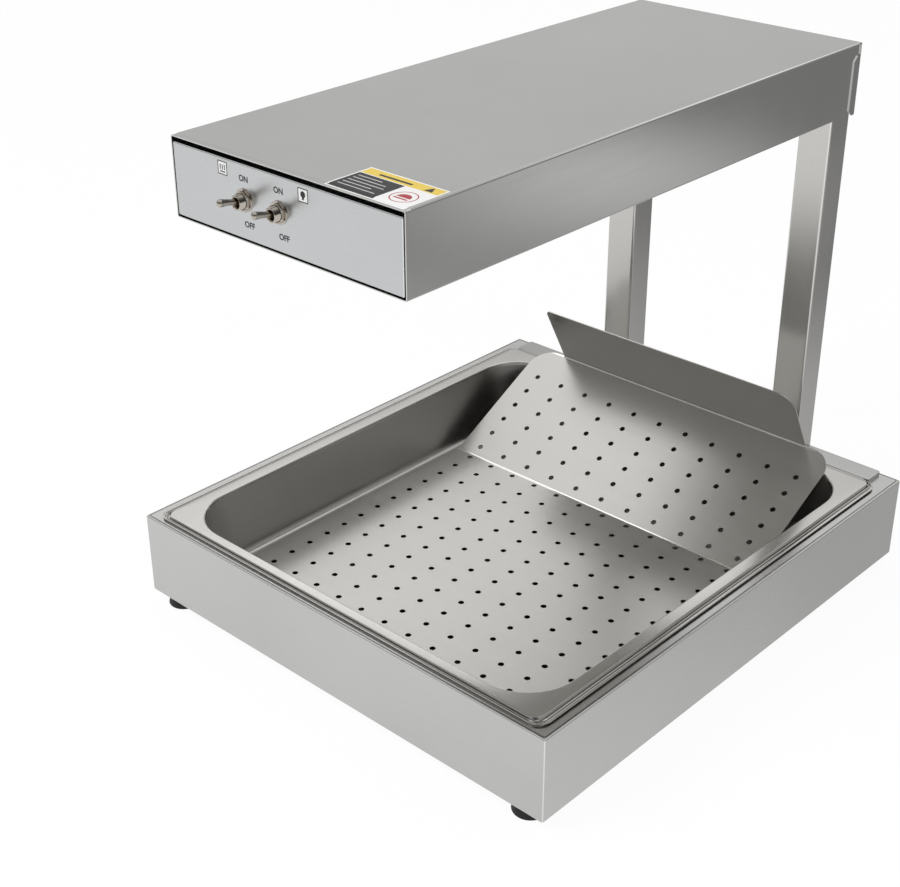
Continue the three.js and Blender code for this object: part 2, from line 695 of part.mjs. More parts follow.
// Lamp reflector: a trough over the lamps, its flange lying on the hood's underside
function troughFront() {
  return hoodFront + troughFrontGap;
}
function troughBack() {
  return hoodBack - troughBackGap;
}
function troughRoof() {
  return hoodBottomHeight + sheet + troughDepth;
}
function troughPrism(mouthHalf, topHalf, front, back, z0, z1) {
  const shape = new THREE.Shape();
  shape.moveTo(-mouthHalf, z0);
  shape.lineTo(mouthHalf, z0);
  shape.lineTo(topHalf, z1);
  shape.lineTo(-topHalf, z1);
  return plate(shape, back - front, 1).applyMatrix4(standing).translate(0, back, 0);
}
function reflector() {
  const z0 = hoodBottomHeight + 2 * sheet;
  const flangeHalf = troughMouthHalf + reflectorFlange;
  const [flangeFront, flangeBack] = [troughFront() - reflectorFlange, troughBack() + reflectorFlange];
  const flange = block(-flangeHalf, flangeHalf, flangeFront, flangeBack, z0, z0 + sheet);
  const roof = troughRoof();
  const shell = troughPrism(troughMouthHalf + sheet, troughTopHalf + sheet, troughFront() - sheet, troughBack() + sheet,
    z0, roof + sheet);
  const slope = (troughMouthHalf - troughTopHalf) / (roof - z0);
  const mouthHalf = troughMouthHalf + slope * overrun;
  const space = troughPrism(mouthHalf, troughTopHalf, troughFront(), troughBack(), z0 - overrun, roof);
  return cut(join(flange, shell), space);
}
// Infrared lamp: a quartz tube with a ceramic cap at each end
function lamp() {
  const length = troughBack() - troughFront() - 2 * lampHolderLength - 2 * seatGap;
  return rod(lampRadius, 0, length, roundSides, 'y');
}
function lampHeight() {
  return troughRoof() - lampBelowTop;
}
// Ceramic holder hung from the trough's end wall and roof
function lampHolder(side, front) {
  const x = side * lampOffset;
  const [h, z] = [lampHolderWidth * half, lampHeight()];
  const y0 = front ? troughFront() : troughBack() - lampHolderLength;
  return block(x - h, x + h, y0, y0 + lampHolderLength, z - lampHolderHeight * half, troughRoof());
}
// Guard under one lamp: two long rods from end wall to end wall of the trough, crossed by short ones
function lampGuard(side) {
  const z = hoodBottomHeight + sheet + guardAboveMouth;
  const x = side * lampOffset;
  const reach = guardHalfWidth + 2 * guardRod;
  const rods = [];
  const start = troughFront() + seatGap;
  const end = troughBack() - seatGap;
  const pitch = (end - start) / (guardCrossRods + 1);
  for (let i = 1; i <= guardCrossRods; i++) {
    const cross = rod(guardRod, -reach, reach, smallSides, 'y').rotateZ(Math.PI * half);
    rods.push(cross.translate(x, start + i * pitch, z));
  }
  for (const offset of [-guardHalfWidth, guardHalfWidth]) {
    rods.push(rod(guardRod, start, end, smallSides, 'y').translate(x + offset, 0, z + guardRod));
  }
  return join(...rods);
}

// Toggle switch pieces, built round the bushing's axis: y = 0 is the panel's face and -Y points out
function switchWasher() {
  const ring = [
    [bushingHoleRadius, -washerThickness],
    [washerRadius, -washerThickness],
    [washerRadius, 0],
    [bushingHoleRadius, 0],
    [bushingHoleRadius, -washerThickness],
  ];
  return turned(ring, 2 * roundSides, 'y');
}
function switchNut() {
  const hex = hexagon(nutAcross, nutThickness, 'y').translate(0, -washerThickness - nutThickness, 0);
  return cut(hex, rod(bushingHoleRadius, -washerThickness - nutThickness - overrun, overrun, roundSides, 'y'));
}
function switchBushing() {
  return turned([
    [bushingBore, -leverPivotReach - leverBall],
    [bushingMouth, -bushingReach],
    [bushingRadius - sheet * half, -bushingReach],
    [bushingRadius, -bushingReach + sheet * half],
    [bushingRadius, sheet],
    [bushingBore, sheet],
    [bushingBore, -leverPivotReach - leverBall],
  ], roundSides, 'y');
}
function switchBody() {
  const [w, h] = [switchBodyWidth * half, switchBodyHeight * half];
  const back = sheet + switchBodyDepth;
  const blades = [-terminalPitch, 0, terminalPitch].map((z) => block(-terminalWidth * half, terminalWidth * half,
    back - overrun, back + terminalLength, z - terminalThickness * half, z + terminalThickness * half));
  return join(block(-w, w, sheet, back, -h, h), ...blades);
}
// Lever round its pivot at the origin, pointing to -Y: ball, tapering bat and round tip
function switchLever() {
  const points = [[0, -leverLength]];
  const tipSteps = 3;
  for (let i = 1; i <= tipSteps; i++) {
    const angle = Math.PI * half * i / tipSteps;
    points.push([leverTip * Math.sin(angle), -leverLength + leverTip * (1 - Math.cos(angle))]);
  }
  const ballSteps = 5;
  const neck = Math.asin(leverRoot / leverBall);
  for (let i = 0; i <= ballSteps; i++) {
    const angle = neck + (Math.PI - neck) * i / ballSteps;
    points.push([i === ballSteps ? 0 : leverBall * Math.sin(angle), -leverBall * Math.cos(angle)]);
  }
  return turned(points, roundSides, 'y');
}

// Heating under the pan and the mains terminal
function heaterPlateTop() {
  return panFloorHeight - sheet - heaterPanGap;
}
function insulationTop() {
  return heaterPlateTop() - heaterPlateThickness - heaterPadThickness;
}
function thermostatTool() {
  const centreY = (heaterFrontY + heaterBackY) * half;
  return rod(thermostatRadius + thermostatClearance, bottomPlateTop - overrun, insulationTop() + overrun, roundSides, 'z')
    .translate(0, centreY, 0);
}
function insulationBoard() {
  const board = block(-insulationHalfWidth, insulationHalfWidth, heaterFrontY, heaterBackY, bottomPlateTop, insulationTop());
  return cut(board, thermostatTool());
}
function heaterLayer(from, to) {
  const x = insulationHalfWidth - heaterMargin;
  return block(-x, x, heaterFrontY + heaterMargin, heaterBackY - heaterMargin, from, to);
}
function heaterPad() {
  return cut(heaterLayer(insulationTop(), insulationTop() + heaterPadThickness), thermostatTool());
}
function heaterPlate() {
  return heaterLayer(heaterPlateTop() - heaterPlateThickness, heaterPlateTop());
}
function thermostat() {
  const top = insulationTop() + heaterPadThickness;
  return rod(thermostatRadius, top - thermostatHeight, top, roundSides, 'z')
    .translate(0, (heaterFrontY + heaterBackY) * half, 0);
}
function terminalBlock() {
  const back = baseLength - sheet - seatGap;
  const [x0, x1] = [terminalBlockX, terminalBlockX + terminalBlockLength];
  const top = bottomPlateTop + terminalBlockHeight;
  const body = block(x0, x1, back - terminalBlockDepth, back, bottomPlateTop, top);
  const holes = [];
  for (let way = 0; way < terminalWays; way++) {
    const x = x0 + terminalBlockLength * (way + half) / terminalWays;
    const well = rod(terminalScrewRadius, top - terminalScrewDepth, top + overrun, roundSides, 'z');
    holes.push(well.translate(x, back - terminalBlockDepth * half, 0));
  }
  return cut(body, ...holes);
}
// Cable gland through the base's back: hexagon and dome outside, thread through the wall; y = 0 is the wall's outside
function glandBody() {
  const hex = hexagon(glandAcross, glandHexThickness, 'y');
  const thread = rod(glandThreadRadius, -glandThreadLength, overrun * half, roundSides, 'y');
  const dome = turned([
    [0, glandHexThickness - overrun * half],
    [glandDomeRadius, glandHexThickness - overrun * half],
    [glandDomeRadius, glandHexThickness + glandDomeLength * half],
    [glandBore + sheet, glandHexThickness + glandDomeLength],
    [0, glandHexThickness + glandDomeLength],
  ], roundSides, 'y');
  const bore = rod(glandBore, -glandThreadLength - overrun, glandHexThickness + glandDomeLength + overrun, roundSides, 'y');
  return cut(join(hex, thread, dome), bore);
}
function glandLocknut() {
  const nut = hexagon(glandAcross, locknutThickness, 'y').translate(0, -sheet - locknutThickness, 0);
  return cut(nut, rod(glandHoleRadius, -sheet - locknutThickness - overrun, overrun, roundSides, 'y'));
}

// Wiring loom: from the base, through the left post and along the hood's side to the left switch
function wireLoom() {
  const x = postCentreX(-1);
  const inPost = (postFront + postBack) * half;
  const low = postWireHeight();
  const high = (postTop + hoodTop - sheet) * half;
  const atSwitch = hoodFront + sheet + switchBodyDepth + terminalLength + seatGap;
  const corner = loomBend;
  const runs = [
    [x, postFront - loomInBase, low],
    [x, inPost, low],
    [x, inPost, high],
    [x, atSwitch + 2 * corner, high],
    [switchFromCentre[0], atSwitch + 2 * corner, switchHeight],
    [switchFromCentre[0], atSwitch, switchHeight],
  ].map((place) => new THREE.Vector3(...place));
  return roundedTube(runs, corner, loomRadius);
}
// A solid tube along straight runs whose corners are rounded
function roundedTube(runs, corner, radius) {
  const path = new THREE.CurvePath();
  let from = runs[0];
  for (let i = 1; i + 1 < runs.length; i++) {
    const before = runs[i].clone().lerp(runs[i - 1], corner / runs[i].distanceTo(runs[i - 1]));
    const after = runs[i].clone().lerp(runs[i + 1], corner / runs[i].distanceTo(runs[i + 1]));
    path.add(new THREE.LineCurve3(from, before));
    path.add(new THREE.QuadraticBezierCurve3(before, runs[i], after));
    from = after;
  }
  path.add(new THREE.LineCurve3(from, runs[runs.length - 1]));
  const stations = [path.curves[0].getPoint(0)];
  for (const curve of path.curves) {
    const steps = curve instanceof THREE.LineCurve3 ? 1 : cornerSteps;
    for (let i = 1; i <= steps; i++) stations.push(curve.getPoint(i / steps));
  }
  let normal = new THREE.Vector3(1, 0, 0);
  const rings = stations.map((point, i) => {
    const ahead = stations[Math.min(i + 1, stations.length - 1)];
    const behind = stations[Math.max(i - 1, 0)];
    const along = ahead.clone().sub(behind).normalize();
    normal = normal.clone().addScaledVector(along, -normal.dot(along)).normalize();
    const across = along.clone().cross(normal);
    return Array.from({ length: smallSides }, (_, k) => {
      const angle = 2 * Math.PI * k / smallSides;
      return point.clone().addScaledVector(normal, radius * Math.cos(angle))
        .addScaledVector(across, radius * Math.sin(angle)).toArray();
    });
  });
  return ringBody(rings);
}

// The assembly
const station = new THREE.Group();
function add(name, geometry, finish, place = [0, 0, 0]) {
  const mesh = new THREE.Mesh(geometry, finishes[finish]());
  mesh.name = name;
  mesh.position.set(...place);
  station.add(mesh);
  return mesh;
}

add('base_shell', baseShell(), 'brushed');
add('base_bottom_plate', bottomPlate(), 'zinc');
add('rear_deck', rearDeck(), 'brushed');
add('pan', pan(), 'pan');
add('perforated_tray', tray(), 'tray');

const cornerNames = ['front_left', 'front_right', 'rear_left', 'rear_right'];
footPlaces().forEach(([x, y], i) => {
  add(`foot_${cornerNames[i]}`, foot(), 'rubber', [x, y, 0]);
  add(`foot_screw_${cornerNames[i]}`, footScrew(), 'zinc', [x, y, footRecessDepth]);
});
bottomScrewPlaces().forEach(([x, y], i) => {
  add(`bottom_screw_${cornerNames[i]}`, smallScrew(bottomPlateTop - baseBottom + sheet, 'z'), 'zinc', [x, y, baseBottom]);
});

add('insulation_board', insulationBoard(), 'wool');
add('heater_pad', heaterPad(), 'red');
add('heater_plate', heaterPlate(), 'aluminium');
add('limit_thermostat', thermostat(), 'black');
add('terminal_block', terminalBlock(), 'black');
add('cable_gland', glandBody(), 'black', [glandX, baseLength, glandHeight]);
add('cable_gland_locknut', glandLocknut(), 'black', [glandX, baseLength, glandHeight]);

const sideNames = { [-1]: 'left', 1: 'right' };
for (const side of sides()) {
  add(`post_${sideNames[side]}`, post(side), 'brushed');
  add(`post_plate_${sideNames[side]}`, postPlate(side), 'brushed');
  boltPlaces(side).forEach((x, i) => {
    add(`post_bolt_${sideNames[side]}_${i + 1}`, bolt(), 'zinc', [x, postFront, boltHeight()]);
  });
}

add('wiring_loom', wireLoom(), 'black');

add('hood_shell', hoodShell(), 'brushed');
add('hood_front_panel', frontPanel(), 'panel');
add('hood_rear_cover', rearCover(), 'brushed');
add('hood_bottom_panel', hoodBottom(), 'brushed');
add('lamp_reflector', reflector(), 'polished');
coverScrewPlaces().forEach(([x, z], i) => {
  const screw = smallScrew(hoodBack + sheet - postBack + postWall + sheet, 'y').rotateZ(Math.PI);
  add(`cover_screw_${i + 1}`, screw, 'zinc', [x, hoodBack + sheet, z]);
});
for (const side of sides()) {
  const lampPlace = [side * lampOffset, troughFront() + lampHolderLength + seatGap, lampHeight()];
  add(`infrared_lamp_${sideNames[side]}`, lamp(), 'quartz', lampPlace);
  add(`lamp_holder_${sideNames[side]}_front`, lampHolder(side, true), 'ceramic');
  add(`lamp_holder_${sideNames[side]}_rear`, lampHolder(side, false), 'ceramic');
  add(`lamp_guard_${sideNames[side]}`, lampGuard(side), 'nickel');
}

switchFromCentre.forEach((x, i) => {
  const place = [x, hoodFront, switchHeight];
  add(`switch_body_${switchNames[i]}`, switchBody(), 'black', place);
  add(`switch_bushing_${switchNames[i]}`, switchBushing(), 'nickel', place);
  add(`switch_washer_${switchNames[i]}`, switchWasher(), 'nickel', place);
  add(`switch_nut_${switchNames[i]}`, switchNut(), 'nickel', place);
  const lever = add(`switch_lever_${switchNames[i]}`, switchLever(), 'nickel', [x, hoodFront - leverPivotReach, switchHeight]);
  lever.rotation.x = -leverTilt;
});

// Origin: the middle of the whole station's outline, on the floor
const outline = new THREE.Box3().setFromObject(station, true);
const middle = outline.getCenter(new THREE.Vector3());
station.position.set(-middle.x, -middle.y, -outline.min.z);
station.updateMatrixWorld(true);

export default station;
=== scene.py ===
# French fry dump station: a heated base with a lift-out pan and a perforated tray, under a hood on two posts.
# Metres, +Z up, +X to the right seen from the switches, +Y back to the posts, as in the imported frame.
from math import asin, copysign, cos, pi, radians, sin, sqrt, tan

import bpy
import bmesh
from mathutils import Matrix, Vector
from mathutils.geometry import delaunay_2d_cdt


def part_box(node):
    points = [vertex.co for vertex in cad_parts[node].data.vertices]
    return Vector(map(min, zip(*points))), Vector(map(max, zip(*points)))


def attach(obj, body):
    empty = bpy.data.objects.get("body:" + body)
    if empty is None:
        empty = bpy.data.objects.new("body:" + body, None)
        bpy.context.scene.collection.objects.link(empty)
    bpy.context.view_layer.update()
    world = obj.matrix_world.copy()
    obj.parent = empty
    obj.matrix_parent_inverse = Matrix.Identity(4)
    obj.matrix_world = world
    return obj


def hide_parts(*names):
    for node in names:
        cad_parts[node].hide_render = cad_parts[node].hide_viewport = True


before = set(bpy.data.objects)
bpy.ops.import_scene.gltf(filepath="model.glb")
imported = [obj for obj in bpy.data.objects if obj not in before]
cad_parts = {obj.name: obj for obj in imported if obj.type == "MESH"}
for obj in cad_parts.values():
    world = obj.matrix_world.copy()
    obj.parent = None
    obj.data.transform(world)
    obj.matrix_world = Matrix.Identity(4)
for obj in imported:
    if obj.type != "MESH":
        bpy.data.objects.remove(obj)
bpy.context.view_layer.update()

# Units and general sizes
MM = 0.001
SHEET = 1 * MM
TURN = 2 * pi
HALF_TURN = pi
QUARTER_TURN = pi / 2
BEND_STEPS = 6
CORNER_STEPS = 10
ROUND_STEPS = 48
HOLE_STEPS = 14
SHARP_ANGLE = radians(32)
EDGE_BREAK = 0.15 * MM

# Camera, from the base's front bottom edge, above its middle
CAMERA_PLACE = Vector((830.6, -733.9, 842.9)) * MM
CAMERA_FORWARD = Vector((-0.60004, 0.64208, -0.47716))
CAMERA_UP = Vector((-0.32232, 0.35186, 0.87881))
CAMERA_LENS = 64.0
CAMERA_SENSOR = 36.0


# Node helpers for materials
class Graph:
    """A material's or the world's nodes, made and linked in one call."""

    def __init__(self, tree):
        self.tree = tree
        tree.nodes.clear()

    def node(self, kind, inputs=None, **settings):
        made = self.tree.nodes.new("ShaderNode" + kind)
        for key, value in settings.items():
            setattr(made, key, value)
        for key, value in (inputs or {}).items():
            self.set(made, key, value)
        return made

    def set(self, node, key, value):
        if isinstance(value, bpy.types.NodeSocket):
            self.tree.links.new(value, node.inputs[key])
        else:
            node.inputs[key].default_value = value

    def noise(self, place, scale, detail, roughness=0.5):
        sizes = {"Vector": place, "Scale": scale, "Detail": detail, "Roughness": roughness}
        return self.node("TexNoise", sizes).outputs["Fac"]

    def stretch(self, place, scale):
        return self.node("Mapping", {"Vector": place, "Scale": scale}).outputs["Vector"]

    def split(self, vector):
        return self.node("SeparateXYZ", {0: vector}).outputs

    def vector(self, operation, a, b=(0, 0, 0), output="Value"):
        return self.node("VectorMath", {0: a, 1: b}, operation=operation).outputs[output]

    def remap(self, value, low, high, new_low, new_high, **settings):
        spans = {"Value": value, "From Min": low, "From Max": high, "To Min": new_low, "To Max": new_high}
        return self.node("MapRange", spans, **settings).outputs["Result"]

    def smooth(self, *spans):
        return self.remap(*spans, interpolation_type="SMOOTHSTEP")

    def spread(self, noise, low, high):
        """A noise's usual range, stretched to a new one."""
        return self.remap(noise, NOISE_LOW, NOISE_HIGH, low, high)

    def math(self, operation, a, b=0.0):
        return self.node("Math", {0: a, 1: b}, operation=operation).outputs[0]

    def ramp(self, value, stops):
        made = self.node("ValToRGB", {"Fac": value})
        elements = made.color_ramp.elements
        while len(elements) < len(stops):
            elements.new(0.5)
        for element, (place, colour) in zip(elements, stops):
            element.position = place
            element.color = (*colour, 1)
        return made.outputs["Color"]

    def times(self, a, b):
        return self.math("MULTIPLY", a, b)

    def minus(self, a, b):
        return self.math("SUBTRACT", a, b)

    def finish(self, sockets, height=None, depth=0.0):
        """Ends a material in a Principled shader, with a bump of a depth in mm."""
        if height is not None:
            bump = self.node("Bump", {"Height": height, "Distance": depth * MM, "Strength": 1.0})
            sockets["Normal"] = bump.outputs["Normal"]
        shader = self.node("BsdfPrincipled", sockets)
        self.set(self.node("OutputMaterial"), "Surface", shader.outputs["BSDF"])


def new_material(name):
    material = bpy.data.materials.new(name)
    material.use_nodes = True
    return material, Graph(material.node_tree)


def grey(level):
    return (level, level, level)


def mm(*lengths):
    return [length * MM for length in lengths]


# Stainless steel: faint brush lines, cloudy gloss, folds and crease lines glossier than the flats with a
# painted highlight in their colour, and painted shade in grooves
LINES_PER_METRE = 1300
STREAKS_PER_METRE = 240
DULL_GAIN = 1.7
LINE_STRETCH = 10
CLOUD_PER_METRE = 7
NOISE_LOW, NOISE_HIGH = 0.3, 0.7
FOLD_FROM, FOLD_TO = 0.75, 0.985  # the largest part of the normal in a fold's middle and at its ends
FOLD_GLOSS = 0.6
CREASE_FROM, CREASE_TO = 0.7, 1.2  # of the crease's half width
# The first is a painted highlight, how much lighter a crease's colour is; the second scales its roughness
CREASE_HIGHLIGHT, CREASE_GLOSS = 1.5, 0.5


def stops_level(graph, value, stops):
    """The level at a length, between stops of (mm, level)."""
    first, last = stops[0][0], stops[-1][0]
    share = graph.remap(value, first * MM, last * MM, 0.0, 1.0)
    return graph.ramp(share, [((at - first) / (last - first), grey(level)) for at, level in stops])


def round_box(graph, at, low, high, radius, widening, above, stops):
    """Levels by the distance in from a round-cornered upright box, over a height: painted shade in the grooves
    along a rim.
    widening is how much faster the distance grows at the ends, and stops are (mm, level)."""
    ends = graph.math("MINIMUM", graph.minus(at["Y"], low.y), graph.minus(high.y, at["Y"]))
    sides = graph.minus(high.x, graph.math("ABSOLUTE", at["X"]))
    short_y = graph.math("MAXIMUM", graph.minus(radius, graph.times(ends, widening)))
    short_x = graph.math("MAXIMUM", graph.minus(radius, sides))
    short = graph.node("CombineXYZ", {"X": short_x, "Y": short_y}).outputs[0]
    level = stops_level(graph, graph.minus(radius, graph.vector("LENGTH", short)), stops)
    over = graph.math("GREATER_THAN", at["Z"], above)
    return graph.math("ADD", graph.times(level, over), graph.minus(1.0, over))


def steel(name, colour, gloss, brush, depth=0.002, cloud=0.04, streak=0.012, fold_highlight=0.0, fold_above=-1.0,
          creases=(), shade_bands=(), dull_below=0.0):
    """brush: the axes that the lines run along. fold_highlight: how much lighter in colour an upright box's
    folds are, a painted highlight, over the height fold_above; the folds are glossier too. creases: lines along
    X, each (y, z, half width), with a painted highlight in their colour and more gloss. shade_bands: what
    round_box takes after at, painted shade in grooves. dull_below: the height that the sheet is duller below."""
    material, graph = new_material(name)
    coordinates = graph.node("TexCoord").outputs
    place = coordinates["Object"]
    at = graph.split(place)

    def stretched(per_metre):
        return graph.stretch(place, [LINE_STRETCH if axis in brush else per_metre for axis in "XYZ"])

    lines = graph.noise(stretched(LINES_PER_METRE), 1.0, 2.0, 0.5)
    streaks = graph.noise(stretched(STREAKS_PER_METRE), 1.0, 3.0, 0.6)
    clouds = graph.noise(place, CLOUD_PER_METRE, 3.0, 0.55)
    shade = graph.spread(lines, 1 - streak / 2, 1 + streak / 2)
    level = graph.times(shade, graph.spread(streaks, 1 - streak, 1 + streak))
    level = graph.times(level, graph.spread(clouds, 1 - cloud, 1 + cloud / 2))
    rough = graph.math("ADD", graph.spread(streaks, gloss - 0.015, gloss + 0.02),
                       graph.spread(clouds, -cloud / 2, cloud / 2))
    # Folds: glossier, and lighter in colour as a painted highlight
    if fold_highlight:
        facing = graph.split(graph.vector("ABSOLUTE", coordinates["Normal"], output="Vector"))
        largest = graph.math("MAXIMUM", facing["X"], graph.math("MAXIMUM", facing["Y"], facing["Z"]))
        share = graph.times(graph.remap(largest, FOLD_FROM, FOLD_TO, 1.0, 0.0),
                            graph.math("GREATER_THAN", at["Z"], fold_above))
        level = graph.times(level, graph.remap(share, 0.0, 1.0, 1.0, 1 + fold_highlight))
        rough = graph.times(rough, graph.remap(share, 0.0, 1.0, 1.0, FOLD_GLOSS))
    if dull_below:
        under = graph.math("LESS_THAN", at["Z"], dull_below)
        rough = graph.times(rough, graph.remap(under, 0.0, 1.0, 1.0, DULL_GAIN))
    # Along each crease line: a painted highlight in the colour, and more gloss
    for y, z, width in creases:
        near = graph.vector("DISTANCE", graph.stretch(place, (0, 1, 1)), (0, y, z))
        inner, outer = width * CREASE_FROM, width * CREASE_TO
        level = graph.times(level, graph.remap(near, inner, outer, CREASE_HIGHLIGHT, 1.0))
        rough = graph.times(rough, graph.remap(near, inner, outer, CREASE_GLOSS, 1.0))
    # Painted shade: darker colour in grooves, by distance in from a box
    for band in shade_bands:
        level = graph.times(level, round_box(graph, at, *band))
    tint = graph.node("VectorMath", {0: colour, "Scale": level}, operation="SCALE").outputs["Vector"]
    graph.finish({"Base Color": tint, "Metallic": 1.0, "Roughness": rough}, lines, depth)
    return material


def plated(name, colour, gloss, speck=900, depth=0.004):
    """Bright plating: nearly plain, with fine unevenness in gloss and height."""
    material, graph = new_material(name)
    place = graph.node("TexCoord").outputs["Object"]
    grain = graph.noise(place, speck, 3.0)
    tone = graph.ramp(graph.noise(place, speck / 6, 2.0), [(0.3, [c * 0.93 for c in colour]), (0.7, colour)])
    rough = graph.spread(grain, gloss - 0.03, gloss + 0.05)
    graph.finish({"Base Color": tone, "Metallic": 1.0, "Roughness": rough}, grain, depth)
    return material


def moulded(name, colour, gloss, grain_scale=1400, depth=0.03, spread=0.12):
    """Plastic, rubber, ceramic or board: fine grain, slightly uneven colour."""
    material, graph = new_material(name)
    place = graph.node("TexCoord").outputs["Object"]
    grain = graph.noise(place, grain_scale, 4.0, 0.6)
    dark = [c * (1 - spread) for c in colour]
    tone = graph.ramp(graph.noise(place, grain_scale / 18, 2.0), [(0.32, dark), (0.68, colour)])
    graph.finish({"Base Color": tone, "Roughness": graph.spread(grain, gloss - 0.06, gloss + 0.06)}, grain,
                 depth)
    return material


def quartz_glass():
    material, graph = new_material("quartz_glass")
    haze = graph.noise(graph.node("TexCoord").outputs["Object"], 60, 2.0)
    tone = graph.ramp(haze, [(0.3, (0.94, 0.9, 0.83)), (0.7, (0.98, 0.96, 0.92))])
    graph.finish({"Base Color": tone, "Roughness": graph.spread(haze, 0.04, 0.16), "IOR": 1.46,
                  "Transmission Weight": 0.85})
    return material


STAINLESS = (0.605, 0.603, 0.592)
TRAY_LOW, TRAY_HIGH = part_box("perforated_tray")
TRAY_RAMP_ANGLE = radians(28)
TRAY_RAMP_LENGTH = 153.5 * MM
TRAY_LEG = 4 * MM
TRAY_FLOOR = TRAY_LOW.z + TRAY_LEG + SHEET
TRAY_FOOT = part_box("base_shell")[0].y + 365 * MM
TRAY_BEND = (TRAY_FOOT + (TRAY_RAMP_LENGTH - SHEET) * cos(TRAY_RAMP_ANGLE),
             TRAY_FLOOR + (TRAY_RAMP_LENGTH - SHEET) * sin(TRAY_RAMP_ANGLE))
BASE_LOW, BASE_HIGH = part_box("base_shell")
PAN_LOW, PAN_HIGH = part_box("pan")
PAN_SHINE_FROM = PAN_HIGH.z - 3.4 * MM
PAN_SIDE_FLANGE = 19.5 * MM
PAN_END_FLANGE = 14 * MM
PAN_OPENING_CORNER = 50 * MM
# Painted shade in the pan lip's grooves: colour levels by distance in from the lip's outer edge, (mm, level)
RIM_GROOVE_SHADE = [(0, 1.0), (2.4, 1.0), (2.9, 0.6), (3.7, 0.6), (4.1, 1.0), (5.1, 1.0), (5.5, 0.45), (6.7, 0.45),
             (7.3, 1.0), (12, 1.0)]
# Painted shade along the narrow crease inside the base's top folds, (mm, level)
BASE_CREASE_SHADE = [(0, 1.0), (1.7, 1.0), (2.1, 0.5), (3.0, 0.5), (3.4, 1.0), (5, 1.0)]

MATERIALS = {
    "hood": steel("hood_stainless", (0.66, 0.658, 0.645), 0.14, "Y", 0.001, 0.03, 0.006, 0.35),
    "front": steel("front_panel_stainless", (0.60, 0.612, 0.618), 0.28, "X", fold_highlight=0.4),
    "base": steel("base_stainless", STAINLESS, 0.25, "XY", 0.0008, 0.04, 0.009, 0.5,
                  shade_bands=[(BASE_LOW, BASE_HIGH, 5 * MM, 1.0, BASE_HIGH.z - 1 * MM, BASE_CREASE_SHADE)]),
    "post": steel("post_stainless", (0.63, 0.622, 0.602), 0.24, "Z", fold_highlight=0.5),
    "pan": steel("pan_stainless", (0.60, 0.59, 0.568), 0.2, "Y", depth=0.001, streak=0.01, fold_highlight=0.35,
                 fold_above=PAN_SHINE_FROM, shade_bands=[(PAN_LOW, PAN_HIGH, 13 * MM, 1.6, PAN_SHINE_FROM,
                                                    RIM_GROOVE_SHADE)],
                 dull_below=PAN_SHINE_FROM),
    "tray": steel("tray_stainless", (0.635, 0.624, 0.6), 0.31, "X", depth=0.002, cloud=0.04, streak=0.012,
                  creases=[(TRAY_FOOT, TRAY_FLOOR, 1.3 * MM), (*TRAY_BEND, 1.3 * MM)]),
    "deck": steel("deck_stainless", STAINLESS, 0.12, "X", depth=0.001, streak=0.01),
    "reflector": steel("reflector_stainless", (0.86, 0.855, 0.84), 0.16, "Y", depth=0.002),
    # Painted light: the hood's bottom panel is a lighter copy of the steel, standing in for light under the
    # hood that the tray mirrors
    "hood_bottom": steel("hood_bottom_lit_stainless", (0.9, 0.895, 0.88), 0.5, "Y", depth=0.001),
    "nickel": plated("nickel_plating", (0.52, 0.475, 0.42), 0.1),
    "zinc": plated("zinc_plating", (0.56, 0.57, 0.6), 0.3, speck=700, depth=0.01),
    "aluminium": steel("mill_aluminium", (0.66, 0.67, 0.68), 0.38, "Y", depth=0.006, streak=0.04),
    "rubber": moulded("foot_rubber", (0.012, 0.012, 0.013), 0.6),
    "black": moulded("black_plastic", (0.03, 0.03, 0.032), 0.42, depth=0.015),
    "wire": moulded("wire_sleeve", (0.035, 0.035, 0.037), 0.5, grain_scale=900),
    "silicone": moulded("heating_pad_silicone", (0.3, 0.07, 0.035), 0.6),
    "ceramic": moulded("steatite", (0.72, 0.69, 0.6), 0.5, depth=0.02),
    "wool": moulded("fibre_board", (0.62, 0.58, 0.47), 0.9, grain_scale=500, depth=0.2),
    "filament": plated("lamp_filament", (0.32, 0.26, 0.2), 0.4),
    "quartz": quartz_glass(),
    "print_white": moulded("white_print", (0.86, 0.86, 0.85), 0.4, depth=0.002, spread=0.03),
    "print_yellow": moulded("yellow_print", (0.80, 0.58, 0.07), 0.4, depth=0.002, spread=0.05),
    "print_black": moulded("black_print", (0.02, 0.02, 0.022), 0.5, depth=0.002),
    "print_red": moulded("red_print", (0.42, 0.02, 0.03), 0.4, depth=0.002),
    "print_grey": moulded("grey_print", (0.6, 0.6, 0.6), 0.4, depth=0.002),
}


# Meshes: made from points and faces, given thickness and small edge rounding, then shaded by angle
def place_in_scene(name, mesh):
    made = bpy.data.objects.new(name, mesh)
    bpy.context.scene.collection.objects.link(made)
    return made


def apply_modifiers(piece):
    graph = bpy.context.evaluated_depsgraph_get()
    mesh = bpy.data.meshes.new_from_object(piece.evaluated_get(graph))
    piece.modifiers.clear()
    old = piece.data
    piece.data = mesh
    bpy.data.meshes.remove(old)


def settle(piece):
    """Applies the piece's modifiers and shades it smooth up to the sharp angle, with its large faces flat."""
    apply_modifiers(piece)
    piece.data.shade_smooth()
    piece.data.set_sharp_from_angle(angle=SHARP_ANGLE)
    flats = piece.modifiers.new("flats", "WEIGHTED_NORMAL")
    flats.keep_sharp = True
    apply_modifiers(piece)
    return piece


